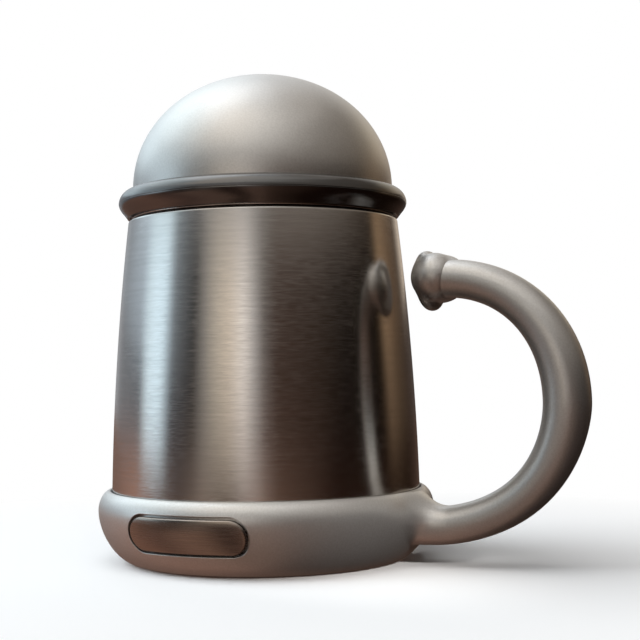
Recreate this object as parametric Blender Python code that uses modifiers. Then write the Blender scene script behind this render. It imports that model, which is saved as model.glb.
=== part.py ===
"""Insulated mug: a double-walled steel body in a moulded base with a C-shaped handle, under a domed lid.

The origin is the centre of the foot's underside. +Z is up, the handle points along +X and the badge faces -Y.
Every length is in metres.
"""

import math

import bmesh
import bpy
from mathutils import Matrix, Vector

# Fits and facets
CLEARANCE = 0.0003
CUT_OVERRUN = 0.0015
WELD_DISTANCE = 0.00001
TURNED_SEGMENTS = 40
SMALL_SEGMENTS = 16
SHARP_ANGLE = math.radians(35)
QUARTER_TURN = math.pi / 2

# Steel body
BODY_TOP_Z = 0.1040
BODY_TOP_RADIUS = 0.0417
BODY_BULGE = 0.00095
BODY_FOOT_RADIUS = 0.0473
BODY_SEAT_DEPTH = 0.0069
STEEL_WALL = 0.0006
RIM_ROUNDING = 0.0008
VACUUM_GAP = 0.0030
MOUTH_GAP = 0.0016
NECK_DEPTH = 0.0120
LIP_THICKNESS = 0.0008
VESSEL_CORNER_RADIUS = 0.0100
VESSEL_FLOOR_LIFT = 0.0045

# Closing plate of the vacuum space
CLOSING_PLATE_THICKNESS = 0.0008
CLOSING_PLATE_LIFT = 0.0025
CLOSING_PLATE_BEND = 0.0012
DIMPLE_RADIUS = 0.0060
DIMPLE_DEPTH = 0.0012
DIMPLE_SLOPE = 0.0012
EVACUATION_HOLE_RADIUS = 0.0010
GETTER_RADIUS = 0.0050
GETTER_HEIGHT = 0.0014
GETTER_OFFSET = 0.0190

# Base and what is fixed in it
BASE_TOP_Z = 0.0219
BASE_WIDEST_Z = 0.01565
BASE_SHOULDER = 0.0042
BASE_FOOT_TUCK = 0.0110
BASE_UNDERSIDE_FULLNESS = 1.74
BASE_WALL = 0.0030
BASE_LIP_WIDTH = 0.0004
BASE_LEDGE_THICKNESS = 0.0022
BASE_LEDGE_WIDTH = 0.0032
BASE_SHELF_THICKNESS = 0.0022
FOOT_RIM_WIDTH = 0.0022
GASKET_WIDTH = 0.0008
GASKET_HEIGHT = 0.0020
GASKET_PROUD = 0.0005
PAD_THICKNESS = 0.0012
PAD_PROUD = 0.0005
PAD_EDGE_ROUNDING = 0.0004
BASE_PLATE_THICKNESS = 0.0030
MOUNT_RING_THICKNESS = 0.0016
MOUNT_RING_WIDTH = 0.0110
BOSS_RADIUS = 0.0038
BOSS_ROOF = 0.0020
SCREW_CIRCLE_RADIUS = 0.0260
SCREW_COUNT = 4
SCREW_RADIUS = 0.0015
SCREW_HEAD_RADIUS = 0.0030
SCREW_HEAD_HEIGHT = 0.0013
SCREW_TIP_ROOM = 0.0015
SCREW_SOCKET_RADIUS = 0.0011
SCREW_SOCKET_DEPTH = 0.0008

# Handle
HANDLE_ROOT_DROP = 0.0100
HANDLE_ROOT_SINK = 0.0075
HANDLE_ROOT_RADIUS = 0.0054
HANDLE_ROOT_RISE_ANGLE = math.radians(10.5)
HANDLE_FLARE_RADIUS = 0.0080
HANDLE_FLARE_LENGTH = 0.0100
HANDLE_REACH = 0.0438
HANDLE_OUTER_Z = 0.0476
HANDLE_GRIP_RADIUS = 0.0068
HANDLE_END_Z = 0.0836
HANDLE_END_RADIUS = 0.0056
HANDLE_END_RISE_ANGLE = math.radians(2)
HANDLE_LOW_REACH_SHARE = 0.92
HANDLE_LOW_RISE_SHARE = 0.15
HANDLE_HIGH_RISE_SHARE = 0.55
HANDLE_HIGH_REACH_SHARE = 0.60
HANDLE_BEVEL_STEPS = 6
HANDLE_PATH_STEPS = 12
SOCKET_RADIUS = 0.0032
SOCKET_DEPTH = 0.0090

# Knob on the handle's end
KNOB_RADIUS = 0.0082
KNOB_BACK_LENGTH = 0.0049
KNOB_FRONT_LENGTH = 0.0068
KNOB_TO_BODY_GAP = 0.0065
KNOB_LIP_LENGTH = 0.0112
KNOB_LIP_WIDTH = 0.0090
KNOB_LIP_HEIGHT = 0.0052
KNOB_LIP_DROP = 0.0062
KNOB_LIP_TILT = math.radians(22)

# Badge
BADGE_WIDTH = 0.0382
BADGE_HEIGHT = 0.0104
BADGE_CENTRE_Z = 0.0122
BADGE_THICKNESS = 0.0007
BADGE_INSET = 0.0001
TAPE_THICKNESS = 0.0004
CAPSULE_END_STEPS = 10

# Lid
DOME_RISE = 0.0364
DOME_FOOT_INSET = 0.0014
DOME_WALL = 0.0020
DOME_FOOT_REVEAL = 0.0002
RING_HEIGHT = 0.0080
RING_WIDEST_SHARE = 0.45
RING_PROUD = 0.0030
RING_LIP_THICKNESS = 0.0008
FLANGE_THICKNESS = 0.0020
PLUG_TO_MOUTH_GAP = 0.0029
PLUG_DEPTH = 0.0093
PLUG_WALL = 0.0016
PLUG_FLOOR_THICKNESS = 0.0020
SEAL_BAND_HEIGHT = 0.0036
SEAL_GROOVE_DEPTH = 0.0011
SEAL_BAND_DROP = 0.0030
SEAL_LIP_THICKNESS = 0.0008

# Heights worked out from the sizes above
PLATE_BOTTOM_Z = PAD_THICKNESS + CLEARANCE
PLATE_TOP_Z = PLATE_BOTTOM_Z + BASE_PLATE_THICKNESS
SHELF_BOTTOM_Z = PLATE_TOP_Z + CLEARANCE
SHELF_TOP_Z = SHELF_BOTTOM_Z + BASE_SHELF_THICKNESS
BODY_SEAT_Z = BASE_TOP_Z - BODY_SEAT_DEPTH
LEDGE_TOP_Z = BODY_SEAT_Z - CLEARANCE
LEDGE_BOTTOM_Z = LEDGE_TOP_Z - BASE_LEDGE_THICKNESS
CLOSING_PLATE_BOTTOM_Z = BODY_SEAT_Z + CLOSING_PLATE_LIFT
CLOSING_PLATE_TOP_Z = CLOSING_PLATE_BOTTOM_Z + CLOSING_PLATE_THICKNESS
MOUNT_RING_TOP_Z = CLOSING_PLATE_BOTTOM_Z - CLEARANCE
MOUNT_RING_BOTTOM_Z = MOUNT_RING_TOP_Z - MOUNT_RING_THICKNESS
BOSS_HOLE_TOP_Z = MOUNT_RING_BOTTOM_Z - BOSS_ROOF
VESSEL_BOTTOM_Z = CLOSING_PLATE_TOP_Z + VESSEL_FLOOR_LIFT
LIP_BOTTOM_Z = BODY_TOP_Z + CLEARANCE
RIM_Z = LIP_BOTTOM_Z + LIP_THICKNESS
RING_BOTTOM_Z = RIM_Z + CLEARANCE
RING_TOP_Z = RING_BOTTOM_Z + RING_HEIGHT
DOME_FOOT_Z = RING_TOP_Z + DOME_FOOT_REVEAL
DOME_TOP_Z = DOME_FOOT_Z + DOME_RISE
FLANGE_BOTTOM_Z = RING_BOTTOM_Z + RING_LIP_THICKNESS + CLEARANCE
FLANGE_TOP_Z = FLANGE_BOTTOM_Z + FLANGE_THICKNESS
DOME_EDGE_Z = FLANGE_TOP_Z + CLEARANCE
PLUG_BOTTOM_Z = FLANGE_BOTTOM_Z - PLUG_DEPTH
HANDLE_ROOT_Z = BASE_TOP_Z - HANDLE_ROOT_DROP
HANDLE_START_Z = HANDLE_ROOT_Z + HANDLE_FLARE_RADIUS - HANDLE_ROOT_RADIUS

# Radii worked out from the sizes above
BODY_MID_RADIUS = (BODY_TOP_RADIUS + BODY_FOOT_RADIUS) / 2 + BODY_BULGE
BASE_RADIUS = BODY_FOOT_RADIUS + BASE_SHOULDER
BASE_FOOT_RADIUS = BASE_RADIUS - BASE_FOOT_TUCK
SHELF_INNER_RADIUS = SCREW_CIRCLE_RADIUS + BOSS_RADIUS + BASE_WALL
BORE_RADIUS = BODY_FOOT_RADIUS + CLEARANCE
GASKET_OUTER_RADIUS = BORE_RADIUS + GASKET_WIDTH
GROOVE_RADIUS = GASKET_OUTER_RADIUS + CLEARANCE
BASE_LIP_RADIUS = GROOVE_RADIUS + BASE_LIP_WIDTH
BODY_BORE_RADIUS = BODY_TOP_RADIUS - STEEL_WALL
NECK_RADIUS = BODY_BORE_RADIUS - MOUTH_GAP
MOUTH_RADIUS = NECK_RADIUS - STEEL_WALL
PLUG_RADIUS = MOUTH_RADIUS - PLUG_TO_MOUTH_GAP
DOME_FOOT_RADIUS = BODY_TOP_RADIUS - DOME_FOOT_INSET
RING_RADIUS = BODY_TOP_RADIUS + RING_PROUD
RING_BORE_RADIUS = DOME_FOOT_RADIUS + CLEARANCE
SEAL_GROOVE_RADIUS = PLUG_RADIUS - SEAL_GROOVE_DEPTH
SEAL_LIP_RADIUS = MOUTH_RADIUS - CLEARANCE
KNOB_BULGE = KNOB_BACK_LENGTH * math.sqrt(1 - (HANDLE_END_RADIUS / KNOB_RADIUS) ** 2)
BADGE_FLOOR_DEPTH = BADGE_INSET + BADGE_THICKNESS + TAPE_THICKNESS + CLEARANCE + CLEARANCE


def clear_scene():
    """Remove every object that the file starts with."""
    for item in list(bpy.data.objects):
        bpy.data.objects.remove(item, do_unlink=True)


def new_collection(name):
    """Make a collection in the scene."""
    collection = bpy.data.collections.new(name)
    bpy.context.scene.collection.children.link(collection)
    return collection


clear_scene()
PARTS = new_collection("insulated_mug")
CUTTERS = new_collection("insulated_mug_cutters")


def finish(name, colour, roughness, metallic):
    """A plain Principled material."""
    material = bpy.data.materials.new(name)
    material.use_nodes = True
    shader = material.node_tree.nodes["Principled BSDF"]
    shader.inputs["Base Color"].default_value = (*colour, 1)
    shader.inputs["Roughness"].default_value = roughness
    shader.inputs["Metallic"].default_value = metallic
    return material


def place(name, mesh, material=None, parent=None):
    """Put a mesh in the scene as a part, or as a hidden cutter where it has no material."""
    item = bpy.data.objects.new(name, mesh)
    if material is None:
        CUTTERS.objects.link(item)
        item.hide_render = True
        item.display_type = "WIRE"
    else:
        PARTS.objects.link(item)
        item.data.materials.append(material)
        item.parent = parent
    return item


def turned(name, profile, material=None, closed=True, parent=None, segments=TURNED_SEGMENTS):
    """Turn a profile of (radius, height) pairs round Z with a Screw modifier.

    The profile runs down its outer side. A closed one comes back up its inner side.
    """
    mesh = bpy.data.meshes.new(name)
    edges = [(i, i + 1) for i in range(len(profile) - 1)]
    if closed:
        edges.append((len(profile) - 1, 0))
    mesh.from_pydata([(radius, 0, height) for radius, height in profile], edges, [])
    item = place(name, mesh, material, parent)
    screw = item.modifiers.new("turn", "SCREW")
    screw.steps = segments
    screw.render_steps = segments
    screw.use_merge_vertices = True
    screw.merge_threshold = WELD_DISTANCE
    return item


def thicken(item, wall):
    """Give an open turned surface its wall, on the inner side."""
    solidify = item.modifiers.new("wall", "SOLIDIFY")
    solidify.thickness = wall
    solidify.offset = -1
    solidify.use_even_offset = True
    return item


def rod(name, radius, low, high, material=None, centre=(0, 0), segments=SMALL_SEGMENTS, top_radius=None):
    """An upright cylinder or cone between two heights."""
    mesh = bpy.data.meshes.new(name)
    shape = bmesh.new()
    bmesh.ops.create_cone(
        shape,
        cap_ends=True,
        segments=segments,
        radius1=radius,
        radius2=radius if top_radius is None else top_radius,
        depth=high - low,
        matrix=Matrix.Translation((centre[0], centre[1], (low + high) / 2)),
    )
    shape.to_mesh(mesh)
    shape.free()
    return place(name, mesh, material)


def combine(item, other, operation):
    """Join another shape to a part, or cut it away."""
    modifier = item.modifiers.new(other.name, "BOOLEAN")
    modifier.operation = operation
    modifier.solver = "EXACT"
    modifier.object = other


def weld(mesh):
    """Join a curve's loose caps to its sides, with every face pointing out."""
    shape = bmesh.new()
    shape.from_mesh(mesh)
    bmesh.ops.remove_doubles(shape, verts=shape.verts, dist=WELD_DISTANCE)
    bmesh.ops.recalc_face_normals(shape, faces=shape.faces)
    shape.to_mesh(mesh)
    shape.free()


def settle(item):
    """Turn a part's modifiers into its mesh, and shade it smooth between its sharp edges."""
    bpy.context.view_layer.update()
    evaluated = item.evaluated_get(bpy.context.evaluated_depsgraph_get())
    mesh = bpy.data.meshes.new_from_object(evaluated)
    mesh.name = item.name
    item.modifiers.clear()
    item.data = mesh
    mesh.shade_smooth()
    mesh.set_sharp_from_angle(angle=SHARP_ANGLE)
    return item


def curve_points(centre, radii, start, end, steps, fullness=2):
    """Points on an upright ellipse between two angles from +X, drawn flatter below a fullness of two."""
    points = []
    for i in range(steps + 1):
        angle = start + (end - start) * i / steps
        x = math.copysign(abs(math.cos(angle)) ** (2 / fullness), math.cos(angle))
        z = math.copysign(abs(math.sin(angle)) ** (2 / fullness), math.sin(angle))
        points.append((centre[0] + radii[0] * x, centre[1] + radii[1] * z))
    return points


def body_radius(height):
    """Outer radius of the steel body: a gentle curve through its three named radii, straight in the base."""
    share = max(height - BASE_TOP_Z, 0) / (BODY_TOP_Z - BASE_TOP_Z)
    foot = BODY_FOOT_RADIUS * (1 - share) * (1 - 2 * share)
    middle = BODY_MID_RADIUS * 4 * share * (1 - share)
    top = BODY_TOP_RADIUS * share * (2 * share - 1)
    return foot + middle + top


def heights(low, high, steps):
    """Evenly spaced heights, from the upper one down."""
    return [high + (low - high) * i / steps for i in range(steps + 1)]


# Steel body

def make_outer_shell():
    """The brushed outer wall, drawn in at its top edge under the vessel's lip."""
    shoulder_z = BODY_TOP_Z - RIM_ROUNDING
    shoulder_radius = body_radius(shoulder_z)
    rounding_centre = (shoulder_radius - RIM_ROUNDING, shoulder_z)
    profile = curve_points(rounding_centre, (RIM_ROUNDING, RIM_ROUNDING), QUARTER_TURN, 0, 2)
    profile += [(body_radius(z), z) for z in heights(BODY_SEAT_Z, shoulder_z, 6)[1:]]
    shell = turned("outer_shell", profile, finish("brushed_steel", (0.42, 0.39, 0.36), 0.32, 1), closed=False)
    return settle(thicken(shell, STEEL_WALL))


def make_inner_liner():
    """The vessel that holds the drink, hung by its folded lip on the outer wall's edge."""
    lip_radius = body_radius(BODY_TOP_Z) - RIM_ROUNDING / 2
    neck_z = BODY_TOP_Z - NECK_DEPTH
    corner = VESSEL_CORNER_RADIUS
    wall_radius = body_radius(VESSEL_BOTTOM_Z + corner) - STEEL_WALL - VACUUM_GAP
    outer = [
        (MOUTH_RADIUS, RIM_Z),
        (lip_radius, RIM_Z),
        (lip_radius, LIP_BOTTOM_Z),
        (NECK_RADIUS, LIP_BOTTOM_Z),
        (NECK_RADIUS, neck_z),
    ]
    waist_z = neck_z - NECK_DEPTH
    for z in heights(VESSEL_BOTTOM_Z + corner, waist_z, 3):
        outer.append((body_radius(z) - STEEL_WALL - VACUUM_GAP, z))
    floor = (wall_radius - corner, VESSEL_BOTTOM_Z + corner)
    outer += curve_points(floor, (corner, corner), 0, -QUARTER_TURN, 4)[1:]
    outer.append((0, VESSEL_BOTTOM_Z))
    inside_corner = corner - STEEL_WALL
    inner = [(0, VESSEL_BOTTOM_Z + STEEL_WALL)]
    inner += curve_points(floor, (inside_corner, inside_corner), -QUARTER_TURN, 0, 4)
    for z in reversed(heights(VESSEL_BOTTOM_Z + corner, waist_z, 3)[:-1]):
        inner.append((body_radius(z) - STEEL_WALL - VACUUM_GAP - STEEL_WALL, z))
    inner.append((MOUTH_RADIUS, neck_z))
    liner = turned("inner_liner", outer + inner, finish("bright_steel", (0.6, 0.59, 0.57), 0.25, 1))
    return settle(liner)


def make_shell_bottom():
    """The plate that closes the vacuum space, with a turned-down edge and a central dimple."""
    edge_radius = BODY_FOOT_RADIUS - STEEL_WALL - CLEARANCE
    dimple_z = CLOSING_PLATE_TOP_Z + DIMPLE_DEPTH
    profile = [
        (EVACUATION_HOLE_RADIUS, dimple_z),
        (DIMPLE_RADIUS, dimple_z),
        (DIMPLE_RADIUS + DIMPLE_SLOPE, CLOSING_PLATE_TOP_Z),
        (edge_radius - CLOSING_PLATE_BEND, CLOSING_PLATE_TOP_Z),
        (edge_radius, CLOSING_PLATE_TOP_Z - CLOSING_PLATE_BEND),
        (edge_radius, BODY_SEAT_Z),
    ]
    plate = turned("shell_bottom", profile, finish("plate_steel", (0.5, 0.49, 0.47), 0.45, 1), closed=False)
    return settle(thicken(plate, CLOSING_PLATE_THICKNESS))


def make_vacuum_seal():
    """The solder bead in the dimple, which closes the evacuation hole."""
    radius = DIMPLE_RADIUS - CLOSING_PLATE_THICKNESS - CLEARANCE
    top = CLOSING_PLATE_BOTTOM_Z + DIMPLE_DEPTH - CLEARANCE
    bottom = CLOSING_PLATE_BOTTOM_Z + CLEARANCE
    profile = [(0, top), (radius - DIMPLE_SLOPE / 2, top), (radius, bottom), (0, bottom)]
    solder = finish("solder", (0.55, 0.55, 0.53), 0.5, 1)
    return settle(turned("vacuum_seal", profile, solder, closed=False, segments=SMALL_SEGMENTS))


def make_getter():
    """The gas-binding button spot-welded on the closing plate, inside the vacuum space."""
    low = CLOSING_PLATE_TOP_Z + CLEARANCE
    sinter = finish("sinter", (0.2, 0.2, 0.2), 0.8, 0.3)
    return settle(rod("getter", GETTER_RADIUS, low, low + GETTER_HEIGHT, sinter, (GETTER_OFFSET, 0)))


def screw_places():
    """Centres of the screws, evenly round the screw circle and clear of the handle's line."""
    places = []
    for i in range(SCREW_COUNT):
        angle = 2 * math.pi * (i + 1 / 2) / SCREW_COUNT
        places.append((SCREW_CIRCLE_RADIUS * math.cos(angle), SCREW_CIRCLE_RADIUS * math.sin(angle)))
    return places


def make_mount_ring():
    """The ring welded under the closing plate, with a threaded boss for each screw."""
    inner = SCREW_CIRCLE_RADIUS - MOUNT_RING_WIDTH / 2
    outer = SCREW_CIRCLE_RADIUS + MOUNT_RING_WIDTH / 2
    profile = [
        (outer, MOUNT_RING_TOP_Z),
        (outer, MOUNT_RING_BOTTOM_Z),
        (inner, MOUNT_RING_BOTTOM_Z),
        (inner, MOUNT_RING_TOP_Z),
    ]
    ring = turned("mount_ring", profile, finish("bracket_steel", (0.45, 0.44, 0.43), 0.5, 1))
    hole_radius = SCREW_RADIUS + CLEARANCE
    for number, centre in enumerate(screw_places(), 1):
        boss_top = MOUNT_RING_BOTTOM_Z + MOUNT_RING_THICKNESS / 2
        combine(ring, rod(f"boss_{number}", BOSS_RADIUS, SHELF_BOTTOM_Z, boss_top, centre=centre), "UNION")
        hole_low = SHELF_BOTTOM_Z - CUT_OVERRUN
        hole = rod(f"boss_hole_{number}", hole_radius, hole_low, BOSS_HOLE_TOP_Z, centre=centre)
        combine(ring, hole, "DIFFERENCE")
    return settle(ring)


# Base

def base_outer_curve(steps_below=6, steps_above=4):
    """The base's rounded outer side, from the lip at its top down to the rim of its foot."""
    rise = BASE_TOP_Z - BASE_WIDEST_Z
    start = math.acos((BASE_LIP_RADIUS - BODY_FOOT_RADIUS) / BASE_SHOULDER)
    drop_share = (BASE_WIDEST_Z - PAD_PROUD) / BASE_WIDEST_Z
    end = -math.asin(drop_share ** (BASE_UNDERSIDE_FULLNESS / 2))
    above = curve_points((BODY_FOOT_RADIUS, BASE_WIDEST_Z), (BASE_SHOULDER, rise), start, 0, steps_above)
    below_radii = (BASE_FOOT_TUCK, BASE_WIDEST_Z)
    centre = (BASE_FOOT_RADIUS, BASE_WIDEST_Z)
    below = curve_points(centre, below_radii, 0, end, steps_below, BASE_UNDERSIDE_FULLNESS)
    return above + below[1:]


def base_radius(height):
    """Outer radius of the base at a height."""
    if height > BASE_WIDEST_Z:
        share = min((height - BASE_WIDEST_Z) / (BASE_TOP_Z - BASE_WIDEST_Z), 1)
        return BODY_FOOT_RADIUS + BASE_SHOULDER * math.sqrt(1 - share * share)
    share = (BASE_WIDEST_Z - height) / BASE_WIDEST_Z
    reach = (1 - share ** BASE_UNDERSIDE_FULLNESS) ** (1 / BASE_UNDERSIDE_FULLNESS)
    return BASE_FOOT_RADIUS + BASE_FOOT_TUCK * reach


def base_opening_radius():
    """Radius of the opening in the base's foot, which the plate and the pad fill."""
    return base_radius(PAD_PROUD) - FOOT_RIM_WIDTH


def handle_points():
    """The handle's control points: (place, towards the one before, towards the next, tube radius)."""
    root_x = BASE_RADIUS + HANDLE_FLARE_LENGTH
    outer_x = BASE_RADIUS + HANDLE_REACH
    end_x = body_radius(HANDLE_END_Z) + KNOB_TO_BODY_GAP + KNOB_FRONT_LENGTH + KNOB_BULGE + CLEARANCE
    low_reach = (outer_x - root_x) * HANDLE_LOW_REACH_SHARE
    low_rise = (HANDLE_OUTER_Z - HANDLE_ROOT_Z) * HANDLE_LOW_RISE_SHARE
    high_rise = (HANDLE_END_Z - HANDLE_OUTER_Z) * HANDLE_HIGH_RISE_SHARE
    high_reach = (outer_x - end_x) * HANDLE_HIGH_REACH_SHARE
    start = Vector((BASE_RADIUS - HANDLE_ROOT_SINK, 0, HANDLE_START_Z))
    root = Vector((root_x, 0, HANDLE_ROOT_Z))
    outer = Vector((outer_x, 0, HANDLE_OUTER_Z))
    end = Vector((end_x, 0, HANDLE_END_Z))
    level = Vector((1, 0, 0))
    up = Vector((0, 0, 1))
    rising = Vector((math.cos(HANDLE_ROOT_RISE_ANGLE), 0, math.sin(HANDLE_ROOT_RISE_ANGLE)))
    step = (root_x - start.x) / 3
    return [
        (start, start - level * step, start + level * step, HANDLE_FLARE_RADIUS),
        (root, root - rising * step, root + rising * low_reach, HANDLE_ROOT_RADIUS),
        (outer, outer - up * low_rise, outer + up * high_rise, HANDLE_GRIP_RADIUS),
        (end, end - knob_direction() * high_reach, end + knob_direction() * high_reach, HANDLE_END_RADIUS),
    ]


def knob_direction():
    """The way the handle's end points: towards the body and slightly up."""
    return Vector((-math.cos(HANDLE_END_RISE_ANGLE), 0, math.sin(HANDLE_END_RISE_ANGLE)))


def knob_frame():
    """Place and turn that put +Z of a turned shape along the handle's end."""
    turn = Vector((0, 0, 1)).rotation_difference(knob_direction()).to_matrix().to_4x4()
    return Matrix.Translation(handle_points()[-1][0]) @ turn


def make_handle_tube():
    """The handle as a curve of varying thickness, made a mesh with closed ends."""
    curve = bpy.data.curves.new("handle_path", "CURVE")
    curve.dimensions = "3D"
    curve.resolution_u = HANDLE_PATH_STEPS
    curve.bevel_depth = HANDLE_GRIP_RADIUS
    curve.bevel_resolution = HANDLE_BEVEL_STEPS
    curve.use_fill_caps = True
    spline = curve.splines.new("BEZIER")
    spline.radius_interpolation = "EASE"
    points = handle_points()
    spline.bezier_points.add(len(points) - 1)
    for point, (place_at, before, after, radius) in zip(spline.bezier_points, points):
        point.handle_left_type = "FREE"
        point.handle_right_type = "FREE"
        point.co = place_at
        point.handle_left = before
        point.handle_right = after
        point.radius = radius / HANDLE_GRIP_RADIUS
    path = bpy.data.objects.new("handle_path", curve)
    CUTTERS.objects.link(path)
    bpy.context.view_layer.update()
    mesh = bpy.data.meshes.new_from_object(path.evaluated_get(bpy.context.evaluated_depsgraph_get()))
    weld(mesh)
    tube = place("handle_tube", mesh)
    tube.matrix_world = path.matrix_world
    bpy.data.objects.remove(path, do_unlink=True)
    return tube


def capsule(name, width, height, low_y, high_y):
    """A prism along Y with a round-ended outline, centred at the badge's height."""
    curve = bpy.data.curves.new(name, "CURVE")
    curve.dimensions = "2D"
    curve.fill_mode = "BOTH"
    curve.extrude = (high_y - low_y) / 2
    radius = height / 2
    reach = width / 2 - radius
    ends = (radius, radius)
    outline = curve_points((reach, 0), ends, QUARTER_TURN, -QUARTER_TURN, CAPSULE_END_STEPS)
    outline += curve_points((-reach, 0), ends, -QUARTER_TURN, -3 * QUARTER_TURN, CAPSULE_END_STEPS)
    spline = curve.splines.new("POLY")
    spline.points.add(len(outline) - 1)
    for point, (x, z) in zip(spline.points, outline):
        point.co = (x, z, 0, 1)
    spline.use_cyclic_u = True
    flat = bpy.data.objects.new(name, curve)
    CUTTERS.objects.link(flat)
    bpy.context.view_layer.update()
    mesh = bpy.data.meshes.new_from_object(flat.evaluated_get(bpy.context.evaluated_depsgraph_get()))
    bpy.data.objects.remove(flat, do_unlink=True)
    standing = Matrix.Translation((0, (low_y + high_y) / 2, BADGE_CENTRE_Z))
    mesh.transform(standing @ Matrix.Rotation(QUARTER_TURN, 4, "X"))
    weld(mesh)
    return place(name, mesh)


def base_inset_solid(name, depth):
    """The base's outer form with its side drawn in by a depth, over the badge's height and a little more."""
    half = BADGE_HEIGHT / 2 + CUT_OVERRUN
    low = max(BADGE_CENTRE_Z - half, PAD_THICKNESS)
    high = min(BADGE_CENTRE_Z + half, BASE_TOP_Z - CLEARANCE)
    levels = heights(low, high, 8)
    profile = [(0, high)] + [(base_radius(z) - depth, z) for z in levels] + [(0, low)]
    return turned(name, profile, closed=False)


def make_badge_recess():
    """What is cut from the base's wall for the badge and its tape."""
    width = BADGE_WIDTH + 2 * CLEARANCE
    height = BADGE_HEIGHT + 2 * CLEARANCE
    recess = capsule("badge_recess", width, height, -BASE_RADIUS - CUT_OVERRUN, -BASE_RADIUS / 2)
    combine(recess, base_inset_solid("recess_floor", BADGE_FLOOR_DEPTH), "DIFFERENCE")
    return recess


def make_badge_layer(name, width, height, outer_depth, inner_depth, material):
    """A capsule-shaped layer that follows the base's side between two depths."""
    layer = capsule(name + "_outline", width, height, -BASE_RADIUS - CUT_OVERRUN, -BASE_RADIUS / 2)
    item = place(name, layer.data.copy(), material)
    bpy.data.objects.remove(layer, do_unlink=True)
    combine(item, base_inset_solid(name + "_face", outer_depth), "INTERSECT")
    combine(item, base_inset_solid(name + "_back", inner_depth), "DIFFERENCE")
    return settle(item)


def make_base_shell():
    """The moulded base with its handle: one piece, hollow under the steel body and open below."""
    outer = base_outer_curve()
    foot_z = outer[-1][1]
    profile = [(0, outer[0][1])] + outer + [(0, foot_z)]
    base = turned("base_shell", profile, finish("satin_silver", (0.5, 0.49, 0.47), 0.38, 0.6), closed=False)
    combine(base, make_handle_tube(), "UNION")
    gasket_seat_z = gasket_bottom() - CLEARANCE
    roof_z = max(BASE_TOP_Z, HANDLE_START_Z + HANDLE_FLARE_RADIUS) + CUT_OVERRUN
    ledge_radius = BODY_FOOT_RADIUS - BASE_LEDGE_WIDTH
    cavity = [
        (0, roof_z),
        (GROOVE_RADIUS, roof_z),
        (GROOVE_RADIUS, gasket_seat_z),
        (BORE_RADIUS, gasket_seat_z),
        (BORE_RADIUS, LEDGE_TOP_Z),
        (ledge_radius, LEDGE_TOP_Z),
        (ledge_radius, LEDGE_BOTTOM_Z),
        (base_radius(LEDGE_BOTTOM_Z) - BASE_WALL, LEDGE_BOTTOM_Z),
        (base_radius(SHELF_TOP_Z) - BASE_WALL, SHELF_TOP_Z),
        (SHELF_INNER_RADIUS, SHELF_TOP_Z),
        (SHELF_INNER_RADIUS, SHELF_BOTTOM_Z),
        (base_opening_radius(), SHELF_BOTTOM_Z),
        (base_opening_radius(), -CUT_OVERRUN),
        (0, -CUT_OVERRUN),
    ]
    combine(base, turned("base_cavity", cavity, closed=False), "DIFFERENCE")
    combine(base, make_badge_recess(), "DIFFERENCE")
    socket = rod("handle_socket", SOCKET_RADIUS + CLEARANCE, -SOCKET_DEPTH, CUT_OVERRUN)
    socket.matrix_world = knob_frame()
    combine(base, socket, "DIFFERENCE")
    return settle(base)


def gasket_bottom():
    """Height of the gasket's lower face."""
    return base_outer_curve()[0][1] + GASKET_PROUD - GASKET_HEIGHT


def make_base_gasket():
    """The rubber ring between the steel body and the base's lip."""
    low = gasket_bottom()
    high = low + GASKET_HEIGHT
    inner = BORE_RADIUS
    outer = GASKET_OUTER_RADIUS
    rounding = GASKET_PROUD
    profile = [(inner, high), (outer - rounding, high), (outer, high - rounding), (outer, low), (inner, low)]
    return settle(turned("base_gasket", profile, finish("black_rubber", (0.015, 0.013, 0.012), 0.6, 0)))


def make_handle_tip():
    """The knob that closes the handle's end: a bulb with a lower lip and a spigot in the handle's socket."""
    widest = CLEARANCE + KNOB_BULGE
    back_angle = -math.asin(KNOB_BULGE / KNOB_BACK_LENGTH)
    front = curve_points((0, widest), (KNOB_RADIUS, KNOB_FRONT_LENGTH), QUARTER_TURN, 0, 6)
    back = curve_points((0, widest), (KNOB_RADIUS, KNOB_BACK_LENGTH), 0, back_angle, 4)[1:]
    front[0] = (0, widest + KNOB_FRONT_LENGTH)
    spigot_end = CLEARANCE - SOCKET_DEPTH
    spigot = [(SOCKET_RADIUS, CLEARANCE), (SOCKET_RADIUS, spigot_end), (0, spigot_end)]
    silver = finish("knob_silver", (0.45, 0.44, 0.42), 0.3, 0.6)
    knob = turned("handle_tip", front + back + spigot, silver, closed=False, segments=SMALL_SEGMENTS)
    knob.matrix_world = knob_frame()
    lip_mesh = bpy.data.meshes.new("knob_lip")
    shape = bmesh.new()
    bmesh.ops.create_uvsphere(shape, u_segments=SMALL_SEGMENTS, v_segments=SMALL_SEGMENTS // 2, radius=1)
    shape.to_mesh(lip_mesh)
    shape.free()
    lip_mesh.transform(Matrix.Diagonal((KNOB_LIP_LENGTH / 2, KNOB_LIP_WIDTH / 2, KNOB_LIP_HEIGHT / 2, 1)))
    lip = place("knob_lip", lip_mesh)
    drop = Vector((0, 0, -KNOB_LIP_DROP))
    lip.location = handle_points()[-1][0] + knob_direction() * widest + drop
    lip.rotation_euler = (0, -KNOB_LIP_TILT, 0)
    trim_radius = KNOB_RADIUS + KNOB_LIP_LENGTH
    back_trim = rod("knob_back_trim", trim_radius, -KNOB_LIP_LENGTH, CLEARANCE)
    back_trim.matrix_world = knob_frame()
    combine(lip, back_trim, "DIFFERENCE")
    combine(knob, lip, "UNION")
    return settle(knob)


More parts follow.
